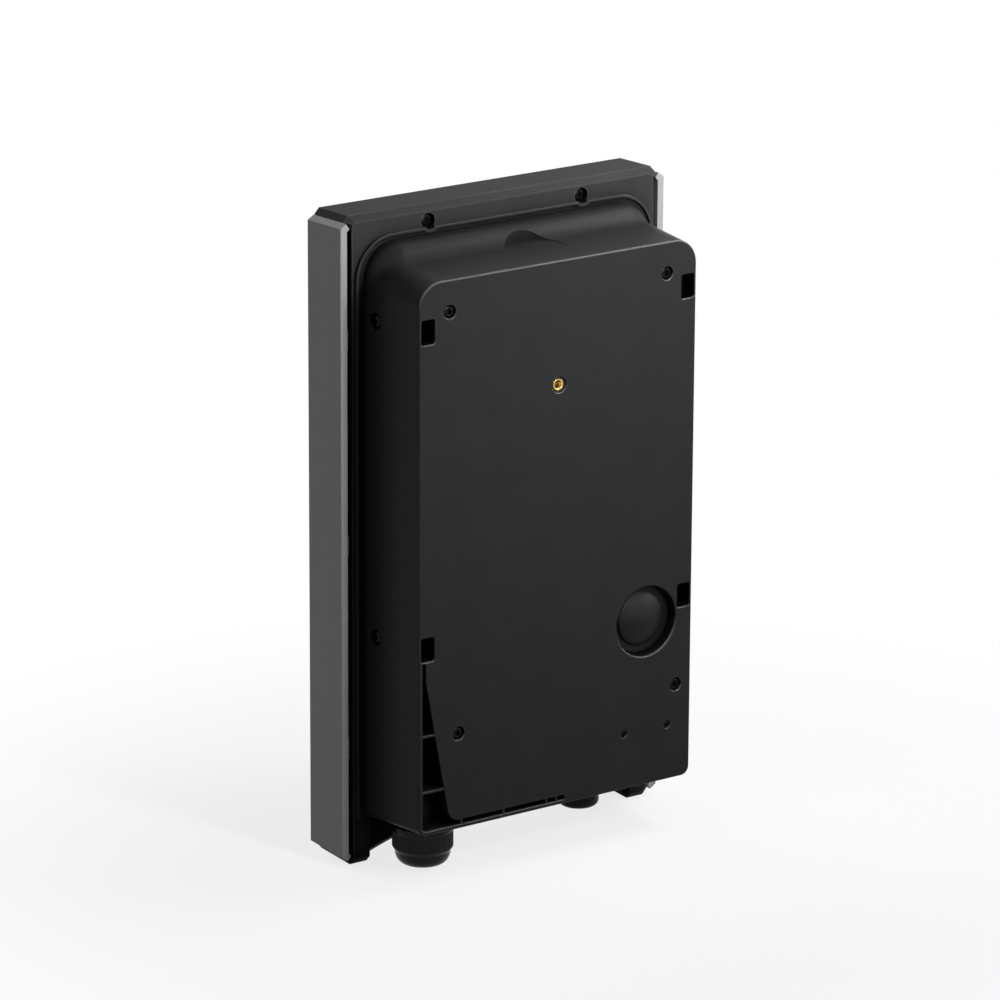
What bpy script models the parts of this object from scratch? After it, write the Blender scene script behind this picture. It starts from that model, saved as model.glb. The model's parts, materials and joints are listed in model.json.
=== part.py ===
"""Wall charging box: a slim framed slab with a moulded rear housing, a cable gland and wall-hook slots.

Sizes are in millimetres and become metres when a mesh is made. The origin is the middle of the flat
face that stands against the wall. +Y points at the wall, +Z is up, and the slab's front faces -Y.
"""
import math

import bmesh
import bpy
from mathutils import Matrix

MM = 0.001
GAP = 0.3
OVERSHOOT = 2.0

# Slab: the framed front part
SLAB_WIDTH = 188.2
SLAB_REAR_Y = -45.0
SLAB_DEPTH = 28.0
SLAB_HALF_HEIGHT_FRONT = 160.2
SLAB_FLARE = 1.0
CORNER_CHAMFER = 6.2
REAR_BEVEL = 3.0
SIDE_BEVEL = 0.4
REAR_CORNER_RADIUS = 2.5
FRONT_BEVEL = 0.5
SLAB_FRONT_Y = SLAB_REAR_Y - SLAB_DEPTH
SLAB_HALF_HEIGHT = SLAB_HALF_HEIGHT_FRONT + SLAB_FLARE

# Aluminium side trims: a drop is measured down from the slab's top edge
TRIM_THICKNESS = 3.7
TRIM_GAP = 2.3
TRIM_BEVEL = 0.5
TRIM_END_DROP = 5.2
TRIM_SHOULDER_DROP = 3.1
TRIM_SHOULDER_WIDTH = 0.3
TRIM_SPUR_REACH = 1.3
TRIM_SPUR_DROP = 5.3
TRIM_SPUR_ROOT_DROP = 6.6
TRIM_TAB_LENGTH = 10.7
TRIM_TAB_MARGIN = 59.7
TRIM_TAB_SINK = 2.5
TRIM_TAB_DEPTH = 8.5
TRIM_OUTER_X = SLAB_WIDTH / 2
TRIM_INNER_X = TRIM_OUTER_X - TRIM_THICKNESS
TRIM_SPUR_X = TRIM_INNER_X - TRIM_SPUR_REACH
TRIM_TAB_PITCH = SLAB_HALF_HEIGHT - TRIM_TAB_MARGIN
TRIM_TAB_REAR_Y = SLAB_REAR_Y - TRIM_TAB_SINK
FRAME_HALF_WIDTH = TRIM_INNER_X - TRIM_GAP

# Front frame, with its lip over each trim's end
LIP_HEEL_DROP = 6.0
LIP_FOOT_DROP = 6.7
FRAME_WALL = 3.5
FRAME_REAR_WALL = 3.0
FRAME_CAVITY_STEP = 0.4
CHIN_MARGIN = 20.2
LEG_WIDTH = 9.9
ARCH_APEX_MARGIN = 15.2
ARCH_DROP = 13.3
ARCH_BEVEL = 3.0
FOOT_RECESS_DEPTH = 2.7
FOOT_RECESS_MARGIN = 25.2
FRAME_INSIDE_Y = SLAB_REAR_Y - FRAME_REAR_WALL
CAVITY_HALF_WIDTH = FRAME_HALF_WIDTH - FRAME_WALL
CAVITY_TOP_Z = SLAB_HALF_HEIGHT_FRONT - FRAME_WALL
CHIN_TOP_Z = CHIN_MARGIN - SLAB_HALF_HEIGHT
FOOT_RECESS_TOP_Z = FOOT_RECESS_MARGIN - SLAB_HALF_HEIGHT
LEG_INNER_X = FRAME_HALF_WIDTH - LEG_WIDTH
ARCH_APEX_Z = ARCH_APEX_MARGIN - SLAB_HALF_HEIGHT
ARCH_RADIUS = (LEG_INNER_X**2 + ARCH_DROP**2) / (2 * ARCH_DROP)

# Raised lip round the housing
RING_LIP_HEIGHT = 2.0
RING_LIP_WIDTH = 1.5
RING_LIP_RADIUS = 21.0
RING_LIP_SIDE_MARGIN = 1.8
RING_LIP_TOP_MARGIN = 10.4
RING_LIP_FOOT_MARGIN = 23.7
RING_LIP_HALF_WIDTH = FRAME_HALF_WIDTH - RING_LIP_SIDE_MARGIN
RING_LIP_TOP_Z = SLAB_HALF_HEIGHT - RING_LIP_TOP_MARGIN
RING_LIP_FOOT_Z = RING_LIP_FOOT_MARGIN - SLAB_HALF_HEIGHT

# Front panel and its light
PANEL_THICKNESS = 3.0
PANEL_BOSS_RADIUS = 3.8
PANEL_BOSS_MARGIN = 0.5
LIGHT_LENGTH = 46.0
LIGHT_HEIGHT = 4.0
LIGHT_DROP = 60.7
LIGHT_STAND = 1.5
PANEL_REAR_Y = SLAB_FRONT_Y + PANEL_THICKNESS
LIGHT_Z = CAVITY_TOP_Z - LIGHT_DROP

# Rear housing
HOUSING_SIDE_MARGIN = 5.95
HOUSING_TOP_MARGIN = 13.8
HOUSING_FOOT_MARGIN = 2.8
HOUSING_SIDE_DRAFT = 0.0067
HOUSING_SHELF_SLOPE = 0.09
HOUSING_BOTTOM_SLOPE = 0.06
HOUSING_TOP_RADIUS = 12.5
HOUSING_BOTTOM_RADIUS = 4.5
HOUSING_WALL = 2.3
HOUSING_BACK_WALL = 3.0
HOUSING_RIM_BEVEL = 0.9
SHOULDER_HEIGHT = 6.5
SHOULDER_DEPTH = 33.0
SHOULDER_SOFTNESS = 1.6
SHOULDER_CORNER_DELAY = 8.0
SHOULDER_INNER_DELAY = 1.6
SHOULDER_SECTIONS = (-13.0, -6.9, -3.8, -2.2, -0.9, 0.0, 0.9, 2.2, 3.8, 5.3)
ROOT_TOP_RADIUS = 18.0
ROOT_FLARE = 1.5
HOUSING_HALF_WIDTH = RING_LIP_HALF_WIDTH - HOUSING_SIDE_MARGIN
HOUSING_TOP_Z = RING_LIP_TOP_Z - HOUSING_TOP_MARGIN
HOUSING_BOTTOM_Z = RING_LIP_FOOT_Z + HOUSING_FOOT_MARGIN

# Scoop in the top shoulder
SCOOP_RADIUS = 16.5
SCOOP_CENTRE_Y = -18.0
SCOOP_FLOOR_RISE = 1.5
SCOOP_FLOOR_SLOPE = 0.072
SCOOP_FLOOR_Z = HOUSING_TOP_Z + SCOOP_FLOOR_RISE

# Opening of the frame behind the housing
OPENING_SIDE_MARGIN = 6.6
OPENING_TOP_RISE = 5.0
OPENING_FOOT_RISE = 5.7
OPENING_TOP_RADIUS = 12.0
OPENING_FOOT_RADIUS = 6.0
FRAME_OPENING_HALF_WIDTH = HOUSING_HALF_WIDTH - OPENING_SIDE_MARGIN
FRAME_OPENING_TOP_Z = HOUSING_TOP_Z + OPENING_TOP_RISE
FRAME_OPENING_BOTTOM_Z = HOUSING_BOTTOM_Z + OPENING_FOOT_RISE

# Seal between housing and frame
SEAL_THICKNESS = 0.7
SEAL_OVERHANG = 2.4
SEAL_WIDTH = 4.8
SEAL_FOOT_WIDTH = 2.2
HOUSING_ROOT_Y = SLAB_REAR_Y + 2 * GAP + SEAL_THICKNESS

# Slots for the wall bracket's hooks
SLOT_WIDTH = 7.6
SLOT_HEIGHT = 12.0
SLOT_DEPTH = 9.0
SLOT_WALL = 1.6
SLOT_CORNER = 1.2
SLOT_INSET = 5.05
SLOT_DROP = 23.5
SLOT_RISE = 93.1
HOOK_SLOTS = [
    (sign * (HOUSING_HALF_WIDTH - SLOT_INSET), z)
    for z in (HOUSING_TOP_Z - SLOT_DROP, HOUSING_BOTTOM_Z + SLOT_RISE)
    for sign in (1, -1)
]

# Cut-away corner with its ribs, in from the side wall and up from the foot
POCKET_DEPTH = 11.6
POCKET_WALL = 1.8
POCKET_SIDE_WALL = 2.2
POCKET_FOOT_WALL = 2.0
POCKET_TOP_RISE = 86.5
POCKET_EDGE = ((3.95, 77.7), (8.85, 51.7), (14.65, 21.8), (16.85, 10.4))
POCKET_ROUND_CORNER_INSET = 18.05
POCKET_ROUND_END_INSET = 23.65
POCKET_SLIT_RISE = 4.5
POCKET_SLIT_END_INSET = 85.45
POCKET_RIB = 1.0
POCKET_RIBS_RISE = (49.9, 21.7)
POCKET_RIBS_INSET = (24.75, 49.45, 74.75, 80.65)

# Screws
M3_SHAFT_RADIUS = 1.5
M3_HEAD_RADIUS = 2.95
M3_HEAD_HEIGHT = 1.8
M3_SOCKET_RADIUS = 1.2
SCREW_HOLE_CLEARANCE = 0.3
RECESS_CLEARANCE = 0.4
RECESS_CHAMFER = 0.5
SMALL_SHAFT_RADIUS = 1.0
SMALL_HEAD_RADIUS = 1.75
SMALL_HEAD_HEIGHT = 1.3
SMALL_SOCKET_RADIUS = 0.8
SMALL_RECESS_CHAMFER = 0.3
HEAD_ROUNDING = 0.35
SOCKET_DEPTH_SHARE = 0.55

# Screws in the wall face
PLATE_SCREW_LENGTH = 10.0
PLATE_RECESS_DEPTH = 3.0
PLATE_BOSS_DEPTH = 5.5
PLATE_BOSS_RADIUS = 5.0
PLATE_SCREW_TOP_INSET = 17.35
PLATE_SCREW_TOP_DROP = 15.4
PLATE_SCREW_LEFT_INSET = 22.85
PLATE_SCREW_RIGHT_INSET = 9.05
PLATE_SCREW_LOW_RISE = 48.1
PLATE_SCREW_TOP = (HOUSING_HALF_WIDTH - PLATE_SCREW_TOP_INSET, HOUSING_TOP_Z - PLATE_SCREW_TOP_DROP)
PLATE_SCREW_LOW_Z = HOUSING_BOTTOM_Z + PLATE_SCREW_LOW_RISE
PLATE_SCREWS = (
    PLATE_SCREW_TOP,
    (-PLATE_SCREW_TOP[0], PLATE_SCREW_TOP[1]),
    (HOUSING_HALF_WIDTH - PLATE_SCREW_LEFT_INSET, PLATE_SCREW_LOW_Z),
    (PLATE_SCREW_RIGHT_INSET - HOUSING_HALF_WIDTH, PLATE_SCREW_LOW_Z),
)
CLAMP_SCREW_LENGTH = 8.0
CLAMP_RECESS_DEPTH = 2.0
CLAMP_BOSS_DEPTH = 4.5
CLAMP_BOSS_WALL = 1.8
CLAMP_SCREWS_INSET = (40.05, 13.95)
CLAMP_SCREW_RISE = 28.3
CLAMP_SCREWS = [
    (inset - HOUSING_HALF_WIDTH, HOUSING_BOTTOM_Z + CLAMP_SCREW_RISE) for inset in CLAMP_SCREWS_INSET
]

# Screws through the side walls into lugs of the frame
SIDE_SCREW_Y = -36.0
SIDE_SCREW_DROP = 25.2
SIDE_SCREW_RISE = 90.9
SIDE_SCREW_LENGTH = 8.0
SIDE_RECESS_DEPTH = 2.1
SIDE_BOSS_DEPTH = 4.2
SIDE_BOSS_REACH = (12.0, 6.0)
LUG_DEPTH = 5.0
LUG_HALF_HEIGHT = 6.0
LUG_RISE = 15.0
LUG_ROOT = 2.5
SIDE_SCREWS_Z = (HOUSING_TOP_Z - SIDE_SCREW_DROP, HOUSING_BOTTOM_Z + SIDE_SCREW_RISE)

# Screws in the frame's rear face
FRAME_SCREW_INSET = 43.6
FRAME_SCREW_DROP = 7.9
FRAME_SCREW_LENGTH = 12.0
FRAME_RECESS_RADIUS = 3.9
FRAME_RECESS_DEPTH = 3.6
FRAME_BOSS_RADIUS = 5.6
FRAME_BOSS_DEPTH = 7.2
LIP_BULGE_RADIUS = 5.2
LIP_BULGE_ANGLES = (-150, -30)
LIP_BULGE_SINK = 0.8
LIP_BULGE_STEP = 0.02
FRAME_SCREW_X = FRAME_HALF_WIDTH - FRAME_SCREW_INSET
FRAME_SCREW_Z = SLAB_HALF_HEIGHT - FRAME_SCREW_DROP

# Threaded insert for the bracket's securing screw
INSERT_DROP = 60.6
INSERT_RADIUS = 2.95
INSERT_BORE_RADIUS = 1.9
INSERT_SINK = 0.8
INSERT_LENGTH = 6.7
INSERT_GROOVE = 0.35
INSERT_GROOVE_WIDTH = 0.8
INSERT_RECESS_RADIUS = 3.95
INSERT_BOSS_RADIUS = 5.6
INSERT_BOSS_FLOOR = 1.8
INSERT_Z = HOUSING_TOP_Z - INSERT_DROP

# Rubber plug of the rear cable entry
ENTRY_INSET = 27.35
ENTRY_RISE = 83.7
ENTRY_RECESS_RADIUS = 17.8
ENTRY_RECESS_DEPTH = 6.4
ENTRY_HOLE_RADIUS = 14.6
ENTRY_FLOOR = 2.2
ENTRY_WALL = 2.0
ENTRY_CHAMFER = 0.4
ENTRY_DISC_RADIUS = 13.2
ENTRY_DISC_SINK = 2.7
ENTRY_DISC_DOME = 0.8
ENTRY_DISC_STEP = 0.5
ENTRY_PLUG_WALL = 2.6
ENTRY_BEAD = 0.8
ENTRY_BEAD_HEIGHT = 2.4
ENTRY_X = ENTRY_INSET - HOUSING_HALF_WIDTH
ENTRY_Z = HOUSING_BOTTOM_Z + ENTRY_RISE

# Cable gland
GLAND_INSET = 19.35
GLAND_Y = -25.0
SEAT_RECESS = 1.5
SEAT_RADIUS = 14.4
SEAT_WALL = 2.0
SEAT_BOSS_RISE = 5.0
GLAND_THREAD_RADIUS = 11.0
GLAND_THREAD_LENGTH = 12.5
GLAND_HEX_RADIUS = 13.9
GLAND_HEX_HEIGHT = 2.8
GLAND_GASKET_HEIGHT = 0.9
GLAND_GASKET_INSET = 0.4
GLAND_NECK_RADIUS = 12.3
GLAND_NECK_LENGTH = 13.2
GLAND_NECK_TAPER = 1.3
GLAND_BORE_RADIUS = 10.2
GLAND_THROAT_RADIUS = 9.0
GLAND_THROAT_STEP = 1.2
GLAND_CHAMFER = 0.8
NUT_RADIUS = 15.2
NUT_HEIGHT = 20.2
NUT_COLLAR_HEIGHT = 3.4
NUT_COLLAR_ROUNDING = 0.9
NUT_GRIP_HEIGHT = 8.7
NUT_RIBS = 30
NUT_RIB_DEPTH = 0.45
NUT_SHOULDER_RADIUS = 13.6
NUT_SHOULDER_DROP = 1.5
NUT_MOUTH_RADIUS = 8.3
NUT_MOUTH_WALL = 0.6
NUT_INNER_RADIUS = 12.7
SLEEVE_BORE_RADIUS = 7.0
SLEEVE_FLANGE = 2.6
SLEEVE_CONE = 1.6
SLEEVE_CONE_RADIUS = 9.3
SLEEVE_FLANGE_RADIUS = 11.3
GLAND_X = HOUSING_HALF_WIDTH - GLAND_INSET
SEAT_Z = HOUSING_BOTTOM_Z + SEAT_RECESS
HEX_TOP_Z = SEAT_Z - 2 * GAP - GLAND_GASKET_HEIGHT
HEX_BOTTOM_Z = HEX_TOP_Z - GLAND_HEX_HEIGHT
NECK_END_Z = HEX_BOTTOM_Z - GLAND_NECK_LENGTH
NUT_TOP_Z = HEX_BOTTOM_Z - GAP
NUT_END_Z = NUT_TOP_Z - NUT_HEIGHT

# Plug of the second bottom entry
BLANK_INSET = 48.85
BLANK_RADIUS = 10.1
BLANK_HEAD_HEIGHT = 14.2
BLANK_FILLET = 3.0
BLANK_STEM_RADIUS = 7.8
BLANK_STEM_LENGTH = 6.0
BLANK_BEAD = 0.8
BLANK_BEAD_HEIGHT = 3.0
BLANK_SEAT_CLEARANCE = 0.6
BLANK_X = BLANK_INSET - HOUSING_HALF_WIDTH

# Carrier plate
PLATE_INSETS = (4.35, 10.35)
PLATE_FOOT_RISE = 40.7
PLATE_TOP_DROP = 9.0
PLATE_THICKNESS = 1.2
PLATE_REAR_Y = -15.3
PLATE_CABLE_HOLE_RADIUS = 20.0
STANDOFF_RADIUS = 3.2
STANDOFF_BORE_RADIUS = 1.8
STANDOFF_NECK_RADIUS = 2.4
PLATE_X = (PLATE_INSETS[0] - HOUSING_HALF_WIDTH, HOUSING_HALF_WIDTH - PLATE_INSETS[1])
PLATE_Z = (HOUSING_BOTTOM_Z + PLATE_FOOT_RISE, HOUSING_TOP_Z - PLATE_TOP_DROP)

# Main board: places on it are shares of its width and rises from its foot
BOARD_INSETS = (14.35, 18.35)
BOARD_FOOT_RISE = 116.7
BOARD_TOP_DROP = 15.0
BOARD_THICKNESS = 1.6
SPACER_LENGTH = 6.0
SPACER_RADIUS = 3.0
SPACER_INSET = 7.0
SPACER_PIN_RADIUS = 1.5
SPACER_PIN_END = 1.2
RELAY_WIDTH_SHARE = 0.23
RELAY_DEPTH = 22.0
RELAY_HEIGHT = 28.0
RELAY_CORNER = 2.0
RELAY_SHARES = (0.18, 0.46)
RELAY_RISE = 42.0
SENSOR_SHARE = 0.81
SENSOR_RISE = 44.0
SENSOR_RADIUS = 13.0
SENSOR_BORE_RADIUS = 6.5
SENSOR_HEIGHT = 14.0
TERMINAL_COUNT = 5
TERMINAL_PITCH = 10.0
TERMINAL_DEPTH = 16.0
TERMINAL_HEIGHT = 14.0
TERMINAL_SHARE = 0.35
TERMINAL_RISE = 10.0
TERMINAL_ENTRY_WIDTH = 6.0
TERMINAL_ENTRY_DEPTH = 6.6
TERMINAL_ENTRY_HEIGHT = 7.0
TERMINAL_SCREW_RADIUS = 2.6
TERMINAL_SCREW_DEPTH = 3.0
BOARD_X = (BOARD_INSETS[0] - HOUSING_HALF_WIDTH, HOUSING_HALF_WIDTH - BOARD_INSETS[1])
BOARD_Z = (HOUSING_BOTTOM_Z + BOARD_FOOT_RISE, HOUSING_TOP_Z - BOARD_TOP_DROP)
BOARD_WIDTH = BOARD_X[1] - BOARD_X[0]
BOARD_REAR_Y = PLATE_REAR_Y - PLATE_THICKNESS - SPACER_LENGTH - 2 * GAP
BOARD_FRONT_Y = BOARD_REAR_Y - BOARD_THICKNESS

# Control board behind the front panel
CONTROL_BOARD_HALF_WIDTH = 42.0
CONTROL_BOARD_HEIGHT = 60.0
CONTROL_BOARD_THICKNESS = 1.6
CONTROL_POST_LENGTH = 5.0
CONTROL_POST_RADIUS = 3.0
CONTROL_POST_INSET = 5.0
CONTROL_BOARD_Z = (LIGHT_Z - CONTROL_BOARD_HEIGHT / 2, LIGHT_Z + CONTROL_BOARD_HEIGHT / 2)

# Bar that grips the supply cable behind the rear entry
CLAMP_DEPTH = 8.0
CLAMP_HALF_HEIGHT = 4.5
CLAMP_OVERHANG = 4.5
CLAMP_ARCH_RADIUS = 7.0
CLAMP_ARCH_LIFT = 2.0

ROUND = 24
FINE_ROUND = 32
COARSE_ROUND = 16
SMALL_ROUND = 12
CORNER_STEPS = 7
ARCH_STEPS = 24
DOME_STEPS = 4


# Meshes are built in millimetres
def as_object(name, bm, material=None, location=(0, 0, 0), rotation=(0, 0, 0)):
    """Turns a mesh in millimetres into an object in metres."""
    bmesh.ops.recalc_face_normals(bm, faces=bm.faces)
    bmesh.ops.scale(bm, vec=(MM, MM, MM), verts=bm.verts)
    mesh = bpy.data.meshes.new(name)
    bm.to_mesh(mesh)
    bm.free()
    mesh.shade_smooth()
    mesh.set_sharp_from_angle(angle=math.radians(32))
    if material:
        mesh.materials.append(material)
    return place(name, mesh, location, rotation)


def place(name, mesh, location=(0, 0, 0), rotation=(0, 0, 0)):
    """Puts a mesh in the scene at a place in millimetres, and may share it with other objects."""
    obj = bpy.data.objects.new(name, mesh)
    obj.location = [value * MM for value in location]
    obj.rotation_euler = rotation
    bpy.context.scene.collection.objects.link(obj)
    return obj


def loft(rings):
    """A closed body through rings that have the same number of points."""
    bm = bmesh.new()
    rows = [[bm.verts.new(point) for point in ring] for ring in rings]
    for low, high in zip(rows, rows[1:]):
        for i in range(len(low)):
            j = (i + 1) % len(low)
            bm.faces.new((low[i], low[j], high[j], high[i]))
    bm.faces.new(rows[0])
    bm.faces.new(rows[-1])
    return bm


def prism(outline, y_low, y_high):
    """An outline of (x, z) points extruded along Y."""
    return loft([[(x, y, z) for x, z in outline] for y in (y_low, y_high)])


def box(low, high):
    outline = [(low[0], low[2]), (high[0], low[2]), (high[0], high[2]), (low[0], high[2])]
    return prism(outline, low[1], high[1])


def turned(profile, segments=ROUND, closed=False):
    """Spins a profile of (radius, height) points round Z. A closed profile makes a ring."""
    bm = bmesh.new()
    verts = [bm.verts.new((radius, 0, height)) for radius, height in profile]
    pairs = list(zip(verts, verts[1:]))
    if closed:
        pairs.append((verts[-1], verts[0]))
    edges = [bm.edges.new(pair) for pair in pairs]
    bmesh.ops.spin(
        bm, geom=verts + edges, cent=(0, 0, 0), axis=(0, 0, 1), angle=math.tau, steps=segments
    )
    bmesh.ops.remove_doubles(bm, verts=bm.verts, dist=0.001)
    return bm


def rod(radius, low, high, segments=ROUND):
    """A cylinder along Z from low to high."""
    return turned([(0, low), (radius, low), (radius, high), (0, high)], segments)


def tube(outer, inner, low, high, segments=ROUND):
    return turned([(outer, low), (outer, high), (inner, high), (inner, low)], segments, closed=True)


TOWARDS = {
    "+Z": Matrix.Identity(4),
    "-Z": Matrix.Rotation(math.pi, 4, "X"),
    "+Y": Matrix.Rotation(-math.pi / 2, 4, "X"),
    "-Y": Matrix.Rotation(math.pi / 2, 4, "X"),
    "+X": Matrix.Rotation(math.pi / 2, 4, "Y"),
    "-X": Matrix.Rotation(-math.pi / 2, 4, "Y"),
}


def moved(bm, where=(0, 0, 0), towards="+Z"):
    """Turns a mesh so that its +Z points the named way, then moves it."""
    bmesh.ops.transform(bm, matrix=Matrix.Translation(where) @ TOWARDS[towards], verts=bm.verts)
    return bm


def joined(*parts):
    """One mesh that holds separate bodies, for cutters."""
    whole = bmesh.new()
    for part in parts:
        mesh = bpy.data.meshes.new("joined")
        part.to_mesh(mesh)
        part.free()
        whole.from_mesh(mesh)
        bpy.data.meshes.remove(mesh)
    return whole


def boolean(target, operation, name, bm):
    helper = as_object(target.name + "_" + name, bm)
    helper.hide_render = True
    helper.display_type = "WIRE"
    modifier = target.modifiers.new(name, "BOOLEAN")
    modifier.operation = operation
    modifier.solver = "EXACT"
    modifier.object = helper
    return helper


def cut(target, name, bm):
    return boolean(target, "DIFFERENCE", name, bm)


def fuse(target, name, bm):
    return boolean(target, "UNION", name, bm)


# Outlines, as (x, z) points
def arc(centre_x, centre_z, radius, start, end, steps):
    """Points along an arc, with its angles in degrees from +X towards +Z."""
    points = []
    for step in range(steps + 1):
        angle = math.radians(start + (end - start) * step / steps)
        points.append((centre_x + radius * math.cos(angle), centre_z + radius * math.sin(angle)))
    return points


def curve(start, control, end, steps):
    """Points after start on a curve that leaves towards the control point and ends at end."""
    points = []
    for step in range(1, steps + 1):
        t = step / steps
        points.append(
            tuple(
                (1 - t) ** 2 * a + 2 * t * (1 - t) * b + t**2 * c
                for a, b, c in zip(start, control, end)
            )
        )
    return points


def round_rectangle(half_width, bottom, top, bottom_radius, top_radius, steps=CORNER_STEPS):
    right, left = half_width - top_radius, -half_width + top_radius
    high, low = top - top_radius, bottom + bottom_radius
    outline = arc(right, high, top_radius, 0, 90, steps)
    outline += arc(left, high, top_radius, 90, 180, steps)
    outline += arc(-half_width + bottom_radius, low, bottom_radius, 180, 270, steps // 2)
    outline += arc(half_width - bottom_radius, low, bottom_radius, 270, 360, steps // 2)
    return outline


def mirrored(half):
    """Completes the +X half of an outline, given from its top to its foot."""
    return half + [(-x, z) for x, z in reversed(half)]


# Materials
def material(name, colour, roughness, metallic=0.0):
    made = bpy.data.materials.new(name)
    made.use_nodes = True
    shader = made.node_tree.nodes["Principled BSDF"]
    shader.inputs["Base Color"].default_value = (*colour, 1.0)
    shader.inputs["Roughness"].default_value = roughness
    shader.inputs["Metallic"].default_value = metallic
    return made


def make_materials():
    return {
        "black_plastic": material("black_plastic", (0.012, 0.012, 0.012), 0.45),
        "gloss_black": material("gloss_black", (0.008, 0.008, 0.009), 0.12),
        "aluminium": material("aluminium", (0.30, 0.31, 0.32), 0.38, 1.0),
        "brass": material("brass", (0.68, 0.47, 0.16), 0.25, 1.0),
        "black_screw": material("black_screw", (0.03, 0.03, 0.03), 0.30, 1.0),
        "rubber": material("rubber", (0.014, 0.014, 0.014), 0.6),
        "gland_nylon": material("gland_nylon", (0.016, 0.016, 0.016), 0.35),
        "light_guide": material("light_guide", (0.75, 0.78, 0.80), 0.3),
        "steel": material("steel", (0.55, 0.56, 0.57), 0.35, 1.0),
        "circuit_board": material("circuit_board", (0.02, 0.13, 0.05), 0.4),
        "terminal_green": material("terminal_green", (0.05, 0.30, 0.12), 0.45),
    }


# Slab
def slab_outline(half_height, inset_x, inset_z):
    """The frame's outline, with a lip at each corner that hooks over the end of a trim."""
    drops = half_height - inset_z
    half = [
        (TRIM_OUTER_X - CORNER_CHAMFER - inset_x, drops),
        (TRIM_INNER_X + TRIM_SHOULDER_WIDTH - 0.8 * GAP - inset_x, drops - TRIM_SHOULDER_DROP + 0.6 * GAP),
        (TRIM_SPUR_X - GAP - inset_x, drops - TRIM_SPUR_DROP + 0.6 * GAP),
        (TRIM_SPUR_X - GAP - inset_x, drops - LIP_HEEL_DROP),
        (FRAME_HALF_WIDTH - inset_x, drops - LIP_FOOT_DROP),
    ]
    return mirrored(half + [(x, -z) for x, z in reversed(half)])


def rear_face_outline():
    """The edge of the frame's rear face, where the lips have run out into plain round corners."""
    half_height = SLAB_HALF_HEIGHT - REAR_BEVEL
    side = FRAME_HALF_WIDTH - SIDE_BEVEL
    centre_z = half_height - REAR_CORNER_RADIUS
    half = arc(side - REAR_CORNER_RADIUS, centre_z, REAR_CORNER_RADIUS, 90, 0, 2)
    half += [(side, centre_z - LIP_HEEL_DROP / 2), (side, centre_z - LIP_HEEL_DROP)]
    return mirrored(half + [(x, -z) for x, z in reversed(half)])


def slab_half_height(y):
    """Half the slab's height, which grows a little towards the rear."""
    share = (y - SLAB_FRONT_Y) / (SLAB_REAR_Y - REAR_BEVEL - SLAB_FRONT_Y)
    return SLAB_HALF_HEIGHT_FRONT + SLAB_FLARE * share


def arch_outline(grow):
    """The arch under the slab: a shallow circle that ends on the upright inner faces of the legs."""
    radius = ARCH_RADIUS + grow
    half_angle = math.degrees(math.asin(LEG_INNER_X / radius))
    crown = arc(0, ARCH_APEX_Z - ARCH_RADIUS, radius, 90 - half_angle, 90 + half_angle, ARCH_STEPS)
    floor_z = -SLAB_HALF_HEIGHT - OVERSHOOT
    return [(LEG_INNER_X, floor_z), *crown, (-LEG_INNER_X, floor_z)]


def make_front_frame(materials):
    bevel_y = SLAB_REAR_Y - REAR_BEVEL
    rings = []
    for y, inset in ((SLAB_FRONT_Y, FRONT_BEVEL), (SLAB_FRONT_Y + FRONT_BEVEL, 0), (bevel_y, 0)):
        rings.append([(x, y, z) for x, z in slab_outline(slab_half_height(y), inset, inset)])
    rings.append([(x, SLAB_REAR_Y, z) for x, z in rear_face_outline()])
    frame = as_object("front_frame", loft(rings), materials["black_plastic"])

    foot_y = SLAB_REAR_Y - FOOT_RECESS_DEPTH
    chin_y = foot_y - FRAME_REAR_WALL
    beyond_y = SLAB_REAR_Y + OVERSHOOT
    cut(frame, "cavity", box(
        (-CAVITY_HALF_WIDTH, SLAB_FRONT_Y - OVERSHOOT, CHIN_TOP_Z),
        (CAVITY_HALF_WIDTH, chin_y, CAVITY_TOP_Z),
    ))
    rear_half_width = CAVITY_HALF_WIDTH - FRAME_CAVITY_STEP
    cut(frame, "cavity_rear", box(
        (-rear_half_width, chin_y - OVERSHOOT, FOOT_RECESS_TOP_Z + FRAME_REAR_WALL),
        (rear_half_width, FRAME_INSIDE_Y, CAVITY_TOP_Z - FRAME_CAVITY_STEP),
    ))
    cut(frame, "foot_recess", box(
        (-LEG_INNER_X, foot_y, -SLAB_HALF_HEIGHT - OVERSHOOT / 2), (LEG_INNER_X, beyond_y, FOOT_RECESS_TOP_Z)
    ))
    low, high = arch_outline(0), arch_outline(ARCH_BEVEL)
    cut(frame, "arch", loft([
        [(x, SLAB_FRONT_Y - OVERSHOOT, z) for x, z in low],
        [(x, foot_y - ARCH_BEVEL, z) for x, z in low],
        [(x, foot_y, z) for x, z in high],
        [(x, beyond_y, z) for x, z in high],
    ]))
    fuse(frame, "ring_lip", prism(
        ring_lip_outline(), SLAB_REAR_Y - OVERSHOOT / 2, SLAB_REAR_Y + RING_LIP_HEIGHT
    ))
    for side, sign in (("left", 1), ("right", -1)):
        add_frame_screw_seat(frame, side, sign * FRAME_SCREW_X)
    cut(frame, "opening", prism(
        round_rectangle(FRAME_OPENING_HALF_WIDTH, FRAME_OPENING_BOTTOM_Z, FRAME_OPENING_TOP_Z,
                        OPENING_FOOT_RADIUS, OPENING_TOP_RADIUS),
        FRAME_INSIDE_Y - OVERSHOOT, beyond_y,
    ))
    for sign in (1, -1):
        for number, z in enumerate(SIDE_SCREWS_Z):
            add_lug(frame, f"lug_{number}_{'left' if sign > 0 else 'right'}", sign, z)
    return frame


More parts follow.
